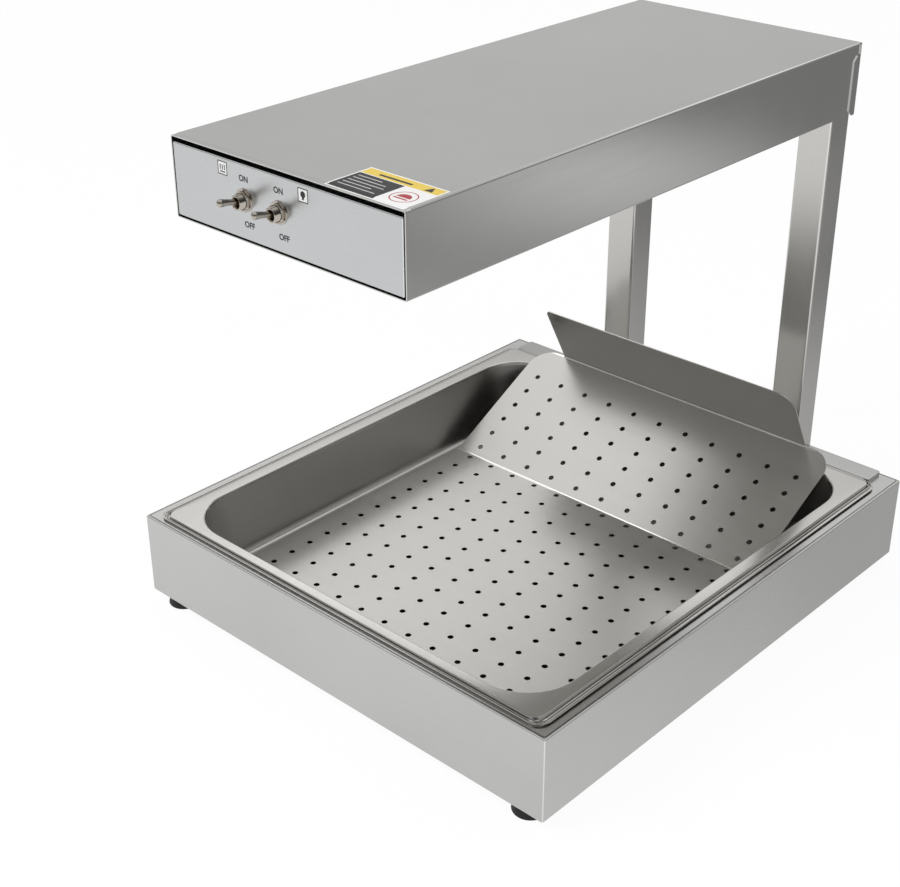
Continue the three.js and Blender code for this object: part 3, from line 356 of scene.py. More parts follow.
def build(name, points, faces, sheet=0.0, edge=0.0, outward=True):
    """A mesh piece. With sheet, the surface gets that thickness on its back."""
    mesh = bpy.data.meshes.new(name)
    mesh.from_pydata([tuple(p) for p in points], [], faces)
    work = bmesh.new()
    work.from_mesh(mesh)
    bmesh.ops.remove_doubles(work, verts=work.verts, dist=0.002 * MM)
    if outward:
        bmesh.ops.recalc_face_normals(work, faces=work.faces)
    work.to_mesh(mesh)
    work.free()
    piece = place_in_scene(name, mesh)
    if sheet:
        solid = piece.modifiers.new("thickness", "SOLIDIFY")
        solid.thickness = sheet
        solid.offset = -1
        solid.use_even_offset = True
    if edge:
        bevel = piece.modifiers.new("edges", "BEVEL")
        bevel.width = edge
        bevel.segments = 2
        bevel.limit_method = "ANGLE"
        bevel.angle_limit = radians(50)
        bevel.use_clamp_overlap = True
    return settle(piece)


def dress(piece, material, body, node):
    """Gives a piece its material and the body it rides on, and hides the CAD node it stands for."""
    piece.data.materials.clear()
    piece.data.materials.append(MATERIALS[material])
    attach(piece, body)
    if node:
        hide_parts(node)
    return piece


def make(name, shape, material, slot, body="station", node=None, **options):
    return dress(build(name, *shape, **options), material, body, node)


def ring(x0, x1, y0, y1, radius, z):
    """A rounded rectangle at height z, anticlockwise seen from above."""
    corners = [(x1, y1, 0), (x0, y1, 1), (x0, y0, 2), (x1, y0, 3)]
    points = []
    for x, y, quarter in corners:
        cx = x - radius if x == x1 else x + radius
        cy = y - radius if y == y1 else y + radius
        for i in range(CORNER_STEPS + 1):
            angle = (quarter + i / CORNER_STEPS) * QUARTER_TURN
            points.append(Vector((cx + radius * cos(angle), cy + radius * sin(angle), z)))
    return points


def circle(radius, z, steps, shape):
    """A ring round the Z axis. shape gives the radius at an angle, where it isn't round."""
    points = []
    for i in range(steps):
        angle = TURN * i / steps
        r = min(radius, shape(angle)) if shape else radius
        points.append(Vector((r * cos(angle), r * sin(angle), z)))
    return points


def loft(rings, closed=False, start_cap=False, end_cap=False):
    """Points and faces of a surface through rings of equal count."""
    count = len(rings[0])
    points = [p for one in rings for p in one]
    faces = []
    pairs = len(rings) if closed else len(rings) - 1
    for r in range(pairs):
        low, high = r * count, (r + 1) % len(rings) * count
        for i in range(count):
            j = (i + 1) % count
            faces.append((low + i, low + j, high + j, high + i))
    if start_cap:
        faces.append(tuple(reversed(range(count))))
    if end_cap:
        faces.append(tuple(range(len(points) - count, len(points))))
    return points, faces


def lathe(profile, steps, closed=False, shape=None):
    """A turned piece from [radius, height] points. Ends at radius zero are closed flat."""
    rings = [circle(r, z, steps, shape) for r, z in profile if r > 0]
    caps = {} if closed else {"start_cap": profile[0][0] == 0, "end_cap": profile[-1][0] == 0}
    return loft(rings, closed=closed, **caps)


def moved(points, matrix):
    return [matrix @ Vector(p) for p in points]


def arc(centre, radius, start, end, steps=BEND_STEPS):
    """Points of an arc in a plane, from one angle to another."""
    turn = (end - start) / steps
    return [(centre[0] + radius * cos(start + turn * i), centre[1] + radius * sin(start + turn * i))
            for i in range(steps + 1)]


def quarter_arc(radius, steps=BEND_STEPS):
    return arc((0, 0), radius, 0, QUARTER_TURN, steps)


# Faces -Y: a shape made round Z, its top towards the front
FACING_FRONT = Matrix(((1, 0, 0, 0), (0, 0, -1, 0), (0, 1, 0, 0), (0, 0, 0, 1)))
FACING_BACK = Matrix(((-1, 0, 0, 0), (0, 0, 1, 0), (0, 1, 0, 0), (0, 0, 0, 1)))


# Folded sheet: a flat pattern, its holes and its bends
def folding(runs, start=(0.0, 0.0), heading=0.0):
    """runs are (length, turn) along the sheet, with a turn of 0 where it is flat. Gives the function from
    distance along the sheet to a place in the fold's plane, and the distances of its fold lines."""
    legs, lines = [], []
    (x, y), at = start, 0.0
    for length, turn in runs:
        legs.append((at, turn / length, x, y, heading))
        if turn:
            lines += [at + length * i / BEND_STEPS for i in range(BEND_STEPS + 1)]
            radius = length / turn
            x += radius * (sin(heading + turn) - sin(heading))
            y -= radius * (cos(heading + turn) - cos(heading))
            heading += turn
        else:
            x += length * cos(heading)
            y += length * sin(heading)
        at += length

    def place(distance):
        begin, curl, px, py, angle = next((leg for leg in reversed(legs) if leg[0] <= distance + 1e-9), legs[0])
        past = distance - begin
        if not curl:
            return px + past * cos(angle), py + past * sin(angle)
        end = angle + curl * past
        return (px + (sin(end) - sin(angle)) / curl, py - (cos(end) - cos(angle)) / curl)

    return place, lines


def pattern(outline, holes, across, along, hole_radius=0.0):
    """Triangles of a flat outline with round holes. across and along are the fold lines, at fixed v and u."""
    points = [Vector(p) for p in outline]
    edges = [(i, (i + 1) % len(outline)) for i in range(len(outline))]
    for u, v in holes:
        first = len(points)
        for i in range(HOLE_STEPS):
            angle = TURN * (i + 0.5) / HOLE_STEPS
            points.append(Vector((u + hole_radius * cos(angle), v + hole_radius * sin(angle))))
            edges.append((first + i, first + (i + 1) % HOLE_STEPS))
    low_u, high_u = min(p[0] for p in outline), max(p[0] for p in outline)
    for v in across:
        points += [Vector((low_u - SHEET, v)), Vector((high_u + SHEET, v))]
        edges.append((len(points) - 2, len(points) - 1))
    for u, v0, v1 in along:
        points += [Vector((u, v0)), Vector((u, v1))]
        edges.append((len(points) - 2, len(points) - 1))
    flat, _, faces, *_ = delaunay_2d_cdt(points, edges, [], 1, 1e-7)
    kept = []
    for face in faces:
        middle = sum((flat[i] for i in face), Vector((0, 0))) / len(face)
        inside = any((middle - Vector(h)).length < hole_radius for h in holes) if holes else False
        if not inside:
            kept.append(face)
    used = sorted({i for face in kept for i in face})
    index = {old: new for new, old in enumerate(used)}
    return [flat[i] for i in used], [tuple(index[i] for i in face) for face in kept]


# Places and sizes from the frame
BASE_BEND = 1.4 * MM
BASE_CORNER = 1.6 * MM
BASE_END_FLANGE = 28 * MM
BASE_SIDE_FLANGE = 34 * MM

# Pan: a beaded lip runs round outside, the flange is one step up, the wall leans in to a rounded floor
PAN_LIP_CORNER = 13 * MM
PAN_TAPER = 11 * MM
PAN_FLOOR_RADIUS = 7 * MM
PAN_RIM_RADIUS = 1.5 * MM
PAN_FLOOR = PAN_LOW.z + SHEET
PAN_SHEET = 0.4 * MM

# The lip's section in mm: inward at the sides and at the front, and height over the flange's top
LIP_SECTION = [
    (0.6, 0.4, -2.05), (0.15, 0.1, -2.0), (0.0, 0.0, -1.8), (0.05, 0.05, -1.55), (0.3, 0.2, -1.3),
    (0.8, 0.45, -1.2),
    (2.2, 0.75, -1.2), (2.75, 1.0, -1.4), (2.95, 1.2, -2.2), (3.2, 1.4, -2.7), (3.55, 1.7, -2.7),
    (3.8, 2.0, -2.2),
    (4.05, 2.3, -1.6), (4.5, 2.6, -1.35), (4.95, 2.85, -1.4), (5.25, 3.05, -1.8), (5.4, 3.15, -2.9),
    (6.1, 3.4, -3.05), (6.5, 3.7, -2.7), (7.6, 4.3, -0.55), (7.85, 4.6, -0.15), (8.3, 5.0, 0.0),
]
LIP_AT_BACK = 0.12  # the lip's depth at the back, where it tucks in under the deck, to that in front


def lip_ring(side, end, height):
    """Round the pan's lip, inward by side and end from its outer edge."""
    corner = PAN_LIP_CORNER - (side + end) * 0.25 * MM
    return ring(PAN_LOW.x + side * MM, PAN_HIGH.x - side * MM, PAN_LOW.y + end * MM,
                PAN_HIGH.y - end * LIP_AT_BACK * MM, corner, PAN_HIGH.z + height * MM)


def wall_ring(inward, z):
    """Round the opening: inward from its edge."""
    side, end = PAN_SIDE_FLANGE + inward, PAN_END_FLANGE + inward
    corner = PAN_OPENING_CORNER - inward / 2
    return ring(PAN_LOW.x + side, PAN_HIGH.x - side, PAN_LOW.y + end, PAN_HIGH.y - end, corner, z)


def pan():
    rings = [lip_ring(*point) for point in LIP_SECTION]
    rings += [wall_ring(-PAN_RIM_RADIUS + x, PAN_HIGH.z - PAN_RIM_RADIUS + z)
              for x, z in reversed(quarter_arc(PAN_RIM_RADIUS))]
    rings += [wall_ring(PAN_TAPER + PAN_FLOOR_RADIUS - x, PAN_FLOOR + PAN_FLOOR_RADIUS - z)
              for x, z in quarter_arc(PAN_FLOOR_RADIUS, 8)]
    make("pan_drawn", loft(rings, end_cap=True), "pan", "stainless_pan", "pan", "pan", sheet=PAN_SHEET,
         outward=False)


# Depth and width of the narrow crease that runs inside the base's top folds
CREASE_DEPTH = 0.5 * MM
CREASE_WIDTH = 0.9 * MM


def base():
    x0, x1, y0, y1 = BASE_LOW.x, BASE_HIGH.x, BASE_LOW.y, BASE_HIGH.y
    bottom, top = BASE_LOW.z, BASE_HIGH.z
    clear = 3 * MM
    side, end = PAN_SIDE_FLANGE - clear, PAN_END_FLANGE - clear
    opening = ring(PAN_LOW.x + side, PAN_HIGH.x - side, PAN_LOW.y + end, PAN_HIGH.y - end,
                   PAN_OPENING_CORNER + clear, top)

    def shell(inset, z):
        corner = max(BASE_CORNER - inset / 2, 0.3 * MM)
        return ring(x0 + inset, x1 - inset, y0 + inset, y1 - inset, corner, z)

    rings = [opening, shell(BASE_BEND + 1.3 * CREASE_WIDTH, top),
             shell(BASE_BEND + CREASE_WIDTH, top - CREASE_DEPTH),
             shell(BASE_BEND + CREASE_WIDTH / 2, top - CREASE_DEPTH), shell(BASE_BEND + CREASE_WIDTH / 4, top)]
    rings += [shell(BASE_BEND - x, top - BASE_BEND + z)
              for x, z in reversed(quarter_arc(BASE_BEND))]
    rings += [shell(BASE_BEND - x, bottom + BASE_BEND - z) for x, z in quarter_arc(BASE_BEND)]
    rings.append(ring(x0 + BASE_SIDE_FLANGE, x1 - BASE_SIDE_FLANGE, y0 + BASE_END_FLANGE, y1 - BASE_END_FLANGE,
                      BASE_CORNER, bottom))
    make("base_folded_shell", loft(list(reversed(rings))), "base", "stainless_brushed", node="base_shell",
         sheet=SHEET, outward=False)


def capped_box(name, box, corner, bend, material, slot, node, matrix=Matrix.Identity(4)):
    """A shallow box of sheet, open underneath, with rounded folds."""
    (x0, y0, z0), (x1, y1, z1) = box
    rings = [ring(x0, x1, y0, y1, corner, z0)]
    for x, z in quarter_arc(bend):
        inset = bend - x
        rings.append(ring(x0 + inset, x1 - inset, y0 + inset, y1 - inset, max(corner - inset / 2, 0.3 * MM),
                          z1 - bend + z))
    points, faces = loft(rings, end_cap=True)
    make(name, (moved(points, matrix), faces), material, slot, node=node, sheet=SHEET, edge=EDGE_BREAK)


def deck():
    (x0, _, z0), (x1, y1, _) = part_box("rear_deck")
    box = Vector((x0, PAN_HIGH.y + 0.15 * MM, z0)), Vector((x1, y1, PAN_HIGH.z + 0.1 * MM))
    capped_box("rear_deck_shelf", box, 2.5 * MM, 0.3 * MM, "deck", "stainless_brushed", "rear_deck")


# Tray
TRAY_RAMP_CORNER = 25 * MM
TRAY_FRONT_CORNER = 38 * MM
TRAY_FLAP_HALF = 151 * MM
TRAY_FLAP_HEIGHT = 74 * MM
TRAY_FLAP_LEFT_CORNER = 6 * MM
TRAY_FLAP_RIGHT_CORNER = 18 * MM
TRAY_FOLD_RADIUS = 2.2 * MM
HOLE_RADIUS = 2.8 * MM
HOLE_SPREAD = 162 * MM


def hole_grid(columns, rows, first, pitch):
    step = 2 * HOLE_SPREAD / (columns - 1)
    return [(-HOLE_SPREAD + step * column,
             first + pitch * row) for row in range(rows) for column in range(columns)]


def tray():
    half = TRAY_HIGH.x
    floor_top = TRAY_FLOOR
    front = TRAY_LOW.y
    foot = TRAY_FOOT
    ramp_bend = TRAY_FOLD_RADIUS * TRAY_RAMP_ANGLE
    ramp_cut = TRAY_FOLD_RADIUS * tan(TRAY_RAMP_ANGLE / 2)
    flap_radius = 1.6 * MM
    flap_bend = flap_radius * QUARTER_TURN
    floor_length = foot - front - ramp_cut
    ramp_start = floor_length + ramp_bend
    ramp_length = TRAY_RAMP_LENGTH - SHEET - ramp_cut - flap_radius
    ramp_end = ramp_start + ramp_length
    flap_start = ramp_end + flap_bend
    flap_end = flap_start + TRAY_FLAP_HEIGHT - flap_radius
    shoulder_end = ramp_end + flap_radius + SHEET

    leg_radius = 1.4 * MM
    leg_start, leg_end = TRAY_FRONT_CORNER + SHEET, floor_length - TRAY_LEG
    leg_root = half - leg_radius
    leg_tip = leg_root + leg_radius * QUARTER_TURN + TRAY_LEG + SHEET - leg_radius
    flap_half = TRAY_FLAP_HALF

    def half_outline(flap_corner):
        side = [(half - TRAY_FRONT_CORNER + x, TRAY_FRONT_CORNER + y)
                for x, y in arc((0, 0), TRAY_FRONT_CORNER, -QUARTER_TURN, 0, 10)]
        side += [(half, leg_start - SHEET), (leg_root, leg_start - SHEET), (leg_root, leg_start),
                 (leg_tip, leg_start),
                 (leg_tip, leg_end), (leg_root, leg_end), (leg_root, leg_end + SHEET), (half, leg_end + SHEET)]
        side += [(half - TRAY_RAMP_CORNER + x, shoulder_end - TRAY_RAMP_CORNER + y)
                 for x, y in quarter_arc(TRAY_RAMP_CORNER, 8)]
        side += [(flap_half + 0.8 * MM, shoulder_end), (flap_half + 0.8 * MM, ramp_end), (flap_half, ramp_end)]
        side += [(flap_half - flap_corner + x, flap_end - flap_corner + y)
                 for x, y in quarter_arc(flap_corner, 8)]
        return side

    outline = half_outline(TRAY_FLAP_RIGHT_CORNER)
    outline += [(-u, v) for u, v in reversed(half_outline(TRAY_FLAP_LEFT_CORNER))]

    along_fold, across = folding([
        (floor_length, 0),
        (ramp_bend, TRAY_RAMP_ANGLE),
        (ramp_length, 0),
        (flap_bend, QUARTER_TURN),
        (flap_end - flap_start, 0),
    ], start=(front, floor_top))
    leg_fold, leg_lines = folding([(leg_root, 0), (leg_radius * QUARTER_TURN, -QUARTER_TURN), (TRAY_LEG, 0)])
    shoulder_fold, _ = folding([(floor_length, 0), (ramp_bend, TRAY_RAMP_ANGLE), (ramp_length, 0)],
                               start=(front, floor_top))
    along = [(s * u, leg_start, leg_end) for u in leg_lines for s in (-1, 1)]
    first_floor_row = foot - front - 6 * MM
    holes = [(u, first_floor_row - v) for u, v in hole_grid(12, 14, 0.0, 22.9 * MM)]
    holes += [(u, ramp_start - ramp_cut + v) for u, v in hole_grid(11, 6, 12 * MM, 20.9 * MM)]
    flat, faces = pattern(outline, holes, across, along, HOLE_RADIUS)

    points = []
    for u, v in flat:
        on_shoulder = abs(u) > flap_half + 0.4 * MM and v >= ramp_end - 1e-7
        y, z = (shoulder_fold if on_shoulder else along_fold)(v)
        if abs(u) > leg_root and leg_start - 1e-7 <= v <= leg_end + 1e-7:
            out, down = leg_fold(abs(u))
            points.append((copysign(out, u), y, z + down))
        else:
            points.append((u, y, z))
    make("tray_folded_sheet", (points, faces), "tray", "stainless_tray", "tray", "perforated_tray", sheet=SHEET,
         outward=False)


# Posts
def post(side):
    node = f"post_{side}"
    (x0, y0, z0), (x1, y1, z1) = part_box(node)
    outer, wall = mm(2.4, 1.5)
    rings = [ring(x0, x1, y0, y1, outer, z) for z in (z0, z1)]
    rings += [ring(x0 + wall, x1 - wall, y0 + wall, y1 - wall, outer - wall / 2, z) for z in (z1, z0)]
    make(f"post_tube_{side}", loft(rings, closed=True), "post", "stainless_brushed", node=node, edge=EDGE_BREAK)


# Hood
HOOD_LOW, HOOD_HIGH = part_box("hood_shell")
LABEL_THICKNESS = 0.12 * MM
HOOD_TOP = HOOD_HIGH.z - LABEL_THICKNESS
HOOD_BEND = 1.8 * MM
HOOD_LIP = 15 * MM
HOOD_STRIP = 12 * MM
HEM_WIDTH = 6 * MM
HEM_CREASE = 0.9 * MM
HEM_DROP = 0.3 * MM


def hem_drop(y):
    """How far the hood's top lies lower along its doubled front edge."""
    past = HOOD_LOW.y + HEM_WIDTH - y
    return HEM_DROP * max(0.0, min(1.0, past / HEM_CREASE))


def hood_shell():
    width = HOOD_HIGH.x - HOOD_LOW.x
    height = HOOD_TOP - HOOD_LOW.z
    bend = HOOD_BEND * QUARTER_TURN
    place, lines = folding([
        (HOOD_LIP - HOOD_BEND, 0), (bend, QUARTER_TURN),
        (height - 2 * HOOD_BEND, 0), (bend, QUARTER_TURN),
        (width - 2 * HOOD_BEND, 0), (bend, QUARTER_TURN),
        (height - 2 * HOOD_BEND, 0), (bend, QUARTER_TURN),
        (HOOD_LIP - HOOD_BEND, 0),
    ], start=(HOOD_HIGH.x - HOOD_LIP, HOOD_LOW.z))
    total = 2 * (HOOD_LIP - HOOD_BEND) + 4 * bend + 2 * (height - 2 * HOOD_BEND) + width - 2 * HOOD_BEND
    lip_end = HOOD_LIP - HOOD_BEND + bend
    strip = width / 2 - HOOD_LIP
    front, back = HOOD_LOW.y, HOOD_HIGH.y
    strip_back = front + HOOD_STRIP
    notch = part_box("post_left")[0].y - 0.3 * MM
    outline = [(-strip, front), (total + strip, front), (total + strip, strip_back), (total, strip_back),
               (total, notch), (total - lip_end, notch), (total - lip_end, back),
               (lip_end, back), (lip_end, notch), (0, notch), (0, strip_back), (-strip, strip_back)]
    hem_lines = [front + HEM_WIDTH, front + HEM_WIDTH - HEM_CREASE]
    along = [(u, front - SHEET, back + SHEET) for u in lines]
    flat, faces = pattern(outline, [], hem_lines, along)
    points = []
    for u, v in flat:
        x, z = place(u)
        if z > HOOD_TOP - HOOD_BEND - 1e-6:
            z -= hem_drop(v)
        points.append((x, v, z))
    faces = [tuple(reversed(face)) for face in faces]
    make("hood_folded_shell", (points, faces), "hood", "stainless_brushed", node="hood_shell", sheet=SHEET,
         outward=False, edge=0.25 * MM)


def front_panel():
    (x0, y0, z0), (x1, y1, z1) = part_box("hood_front_panel")
    lowered, narrowed = mm(3, 1)
    local = Vector((x0, z0, -y1)), Vector((x1 - narrowed, z1 - lowered, -y0))
    capped_box("hood_front_plate", local, 1.2 * MM, 1.2 * MM, "front", "stainless_front", "hood_front_panel",
               FACING_FRONT)


def rear_cover():
    (x0, y0, z0), (x1, y1, z1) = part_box("hood_rear_cover")
    bend, drop, chamfer = mm(1.6, 11, 5)
    flange = y1 - y0 - bend
    turn = bend * QUARTER_TURN
    width = x1 - x0 - 2 * bend
    place, lines = folding([(flange, 0), (turn, QUARTER_TURN), (width, 0), (turn, QUARTER_TURN), (flange, 0)],
                           start=(x1, y0), heading=QUARTER_TURN)
    total = 2 * (flange + turn) + width
    top = z1 - LABEL_THICKNESS
    side = [(0, z0 + chamfer), (chamfer, z0), (total - chamfer, z0), (total, z0 + chamfer),
            (total, z1 - drop - chamfer), (total - chamfer, z1 - drop), (total - flange + 0.5 * MM, z1 - drop),
            (total - flange + 0.5 * MM, top), (flange - 0.5 * MM, top), (flange - 0.5 * MM, z1 - drop),
            (chamfer, z1 - drop), (0, z1 - drop - chamfer)]
    along = [(u, z0 - SHEET, z1 + SHEET) for u in lines]
    flat, faces = pattern(side, [], (), along)
    make("hood_rear_folded_cover", ([(*place(u), v) for u, v in flat], faces), "hood", "stainless_brushed",
         node="hood_rear_cover", sheet=SHEET, outward=False, edge=EDGE_BREAK)


TROUGH_FLANGE = 9 * MM
TROUGH_MOUTH = 96 * MM
TROUGH_TOP = 74 * MM


def reflector():
    (x0, y0, z0), (x1, y1, z1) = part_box("lamp_reflector")
    front, back = y0 + TROUGH_FLANGE, y1 - TROUGH_FLANGE
    roof = z1
    z0 += SHEET
    corner = 1.5 * MM
    rings = [ring(x0, x1, y0, y1, corner, z0)]
    rings.append(ring(-TROUGH_MOUTH - corner, TROUGH_MOUTH + corner, front - corner, back + corner, corner, z0))
    for x, z in reversed(quarter_arc(corner)):
        inset = x - corner
        rings.append(ring(-TROUGH_MOUTH - inset - corner, TROUGH_MOUTH + inset + corner, front - inset - corner,
                          back + inset + corner, corner, z0 + corner - z))
    bend = 3 * MM
    for x, z in quarter_arc(bend):
        inset = bend - x
        rings.append(ring(-TROUGH_TOP + inset, TROUGH_TOP - inset, front + inset, back - inset, corner,
                          roof - bend + z))
    points, faces = loft(rings, end_cap=True)
    faces = [tuple(reversed(face)) for face in faces]
    make("lamp_reflector_trough", (points, faces), "reflector", "stainless_polished", node="lamp_reflector",
         sheet=SHEET, outward=False, edge=EDGE_BREAK)


def tube_along(path, radius, steps=12):
    """A closed tube through the points of a path."""
    rings = []
    normal = Vector((0, 0, 1))
    for i, point in enumerate(path):
        ahead = path[min(i + 1, len(path) - 1)] - path[max(i - 1, 0)]
        ahead.normalize()
        normal = (normal - ahead * normal.dot(ahead))
        if normal.length < 1e-6:
            normal = ahead.orthogonal()
        normal.normalize()
        side = ahead.cross(normal)
        rings.append([point + radius * (normal * cos(a) + side * sin(a))
                      for a in (TURN * k / steps for k in range(steps))])
    return loft(rings, start_cap=True, end_cap=True)


def merge(parts):
    points, faces = [], []
    for more_points, more_faces in parts:
        first = len(points)
        points += list(more_points)
        faces += [tuple(i + first for i in face) for face in more_faces]
    return points, faces


def lamp_guard(side):
    """Two long rods under the lamp, on short rods across."""
    node = f"lamp_guard_{side}"
    (x0, y0, z0), (x1, y1, z1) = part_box(node)
    wire, overhang, count = 1.5 * MM, 3 * MM, 8
    cross_z, long_z = z0 + wire, z1 - wire
    pitch = (y1 - y0) / (count + 1)
    rods = [tube_along([Vector((x0, y0 + pitch * i, cross_z)), Vector((x1, y0 + pitch * i, cross_z))], wire)
            for i in range(1, count + 1)]
    rods += [tube_along([Vector((x, y0, long_z)), Vector((x, y1, long_z))], wire)
             for x in (x0 + overhang, x1 - overhang)]
    make(f"lamp_guard_wires_{side}", merge(rods), "nickel", "nickel", node=node, edge=0.2 * MM)


def lamp(side):
    node = f"infrared_lamp_{side}"
    (x0, y0, z0), (x1, y1, z1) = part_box(node)
    centre = Vector(((x0 + x1) / 2, y0, (z0 + z1) / 2))
    radius, length = (x1 - x0) / 2, y1 - y0
    pinch = 8 * MM
    profile = [(0, 0), (radius * 0.7, 0), (radius * 0.75, pinch * 0.4), (radius, pinch),
               (radius, length - pinch),
               (radius * 0.75, length - pinch * 0.4), (radius * 0.7, length), (0, length)]
    matrix = Matrix.Translation(centre) @ FACING_BACK
    points, faces = lathe(profile, 32)
    make(f"lamp_tube_{side}", (moved(points, matrix), faces), "quartz", "quartz", node=node)
    turns, steps, coil, wire = 64, 10, 2.0 * MM, 0.45 * MM
    run = length - 4 * pinch
    path = [centre + Vector((coil * cos(TURN * i / steps), 2 * pinch + run * i / (turns * steps),
                             coil * sin(TURN * i / steps))) for i in range(turns * steps + 1)]
    make(f"lamp_filament_{side}", tube_along(path, wire, 5), "filament", "nickel")


# Turned and hexagonal hardware
HEX_TURN = Matrix.Rotation(QUARTER_TURN / 3, 4, "Z")
HEX_STEPS = 96


def hexagon(across):
    """The radius of a hexagon at an angle."""
    sixth = HALF_TURN / 3

    def radius(angle):
        return across / 2 / cos((angle % sixth) - sixth / 2)

    return radius


def hardware(name, profile, place, facing, material, slot, body="station", node=None, shape=None, closed=False,
             steps=ROUND_STEPS):
    points, faces = lathe(profile, steps, closed, shape)
    shape = moved(points, Matrix.Translation(place) @ facing), faces
    make(name, shape, material, slot, body, node)


def foot(corner):
    node = f"foot_{corner}"
    (x0, y0, _), (x1, y1, z1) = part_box(node)
    radius, top, hole, recess, depth = (x1 - x0) / 2, 13 * MM, 2.6 * MM, 7 * MM, 6 * MM
    soft = 1.2 * MM
    profile = [(hole, depth), (recess - soft, depth), (recess, depth - soft), (recess, soft),
               (recess + soft, 0),
               (radius - soft, 0), (radius - soft * 0.3, soft * 0.3), (radius, soft),
               (top + soft * 0.4, z1 - soft),
               (top - soft * 0.4, z1), (hole, z1)]
    place = Vector(((x0 + x1) / 2, (y0 + y1) / 2, 0))
    hardware(f"rubber_foot_{corner}", profile, place, Matrix.Identity(4), "rubber", "rubber", node=node,
             closed=True)


def switch(side):
    washer_low, washer_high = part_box(f"switch_washer_{side}")
    centre = Vector(((washer_low.x + washer_high.x) / 2, washer_high.y, (washer_low.z + washer_high.z) / 2))
    outer = (washer_high.x - washer_low.x) / 2
    bore = 6.1 * MM
    thick = washer_high.y - washer_low.y
    soft = 0.25 * MM

    def part(name, node, profile, facing=FACING_FRONT, **options):
        hardware(f"switch_{name}_{side}", profile, centre, facing, "nickel", "nickel",
                 node=f"switch_{node}_{side}", closed=True, **options)

    part("ring", "washer", [(bore, 0), (outer, 0), (outer, thick - soft), (outer - soft, thick),
                            (bore + 1.5 * MM, thick), (bore, thick - soft)])
    nut_low, nut_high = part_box(f"switch_nut_{side}")
    across = nut_high.x - nut_low.x
    nut_base, nut_top = centre.y - nut_high.y, centre.y - nut_low.y
    tip = across / sqrt(3)
    face = across / 2 * 1.02
    bevel = (tip - face) * 0.5
    part("hex_nut", "nut", [(bore, nut_base + soft), (bore + soft, nut_base), (face, nut_base),
                            (tip, nut_base + bevel), (tip, nut_top - bevel), (face, nut_top),
                            (bore + 0.5 * MM, nut_top), (bore, nut_top - 0.5 * MM)],
         FACING_FRONT @ HEX_TURN, shape=hexagon(across), steps=HEX_STEPS)
    bush_low, bush_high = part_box(f"switch_bushing_{side}")
    radius, reach = (bush_high.x - bush_low.x) / 2, centre.y - bush_low.y
    inner, mouth, behind = 3 * MM, 4.4 * MM, centre.y - bush_high.y
    threads, pitch, depth = 7, 0.75 * MM, 0.35 * MM
    profile = [(inner, behind), (radius - depth, behind)]
    start = reach - threads * pitch - 0.3 * MM
    for i in range(threads):
        profile += [(radius - depth, start + pitch * i), (radius, start + pitch * (i + 0.5))]
    profile += [(radius - depth, reach - 0.3 * MM), (radius - depth - 0.3 * MM, reach),
                (mouth + 0.2 * MM, reach),
                (mouth, reach - 0.2 * MM), (inner, 5.7 * MM)]
    part("threaded_bush", "bushing", profile)
    lever(side, centre)


def lever(side, centre):
    pivot_reach, length, root, tip, ball = mm(3, 22.9, 2.0, 3.0, 2.7)
    tilt = radians(11)
    neck = asin(root / ball)
    profile = [(0, -ball)] + [(ball * sin(a), -ball * cos(a))
                              for a in (HALF_TURN / 12 * i for i in range(1, 12)) if a < HALF_TURN - neck]
    profile.append((root, ball * cos(neck) + 0.2 * MM))
    profile.append((root, 6 * MM))
    profile.append((tip * 0.93, length - tip * 1.9))
    profile += [(tip * cos(a), length - tip + tip * sin(a)) for a in (QUARTER_TURN / 9 * i for i in range(9))]
    profile.append((0, length))
    place = centre - Vector((0, pivot_reach, 0))
    facing = Matrix.Rotation(-tilt, 4, "X") @ FACING_FRONT
    hardware(f"switch_bat_{side}", profile, place, facing, "nickel", "nickel", body=f"lever_{side}",
             node=f"switch_lever_{side}", steps=40)


def cross_screw(node, name, facing):
    """Pan-head screw with a cross recess; the head's underside is the CAD's."""
    lo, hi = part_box(node)
    place = (lo + hi) / 2
    radius, height, shank, reach = mm(3.6, 2, 1.7, 3)
    along = facing @ Vector((0, 0, 1))
    axis = max(range(3), key=lambda i: abs(along[i]))
    place[axis] = (hi[axis] if along[axis] > 0 else lo[axis]) - along[axis] * height
    profile = [(0, -reach), (shank, -reach), (shank, 0), (radius, 0), (radius, height * 0.35)]
    profile += [(radius * cos(a),
                 height * (0.35 + 0.65 * sin(a))) for a in (QUARTER_TURN / 6 * i for i in range(1, 6))]
    profile.append((0, height))
    points, faces = lathe(profile, 32)
    half_width, half_length, slot_depth = mm(0.4, 1.8, 1.1)
    piece = build(name, points, faces)
    bar_points, bar_faces = bar(-half_length, half_length, -half_width, half_width, height - slot_depth,
                                height + SHEET)
    for turn in (0, QUARTER_TURN):
        carve(piece, moved(bar_points, Matrix.Rotation(turn, 4, "Z")), bar_faces)
    piece.data.transform(Matrix.Translation(place) @ facing)
    dress(piece, "zinc", "station", node)


def carve(piece, points, faces):
    """Cuts a closed shape out of a piece."""
    tool = build("cutting_tool", points, faces)
    cutter = piece.modifiers.new("cut", "BOOLEAN")
    cutter.operation = "DIFFERENCE"
    cutter.object = tool
    cutter.solver = "EXACT"
    settle(piece)
    bpy.data.objects.remove(tool)


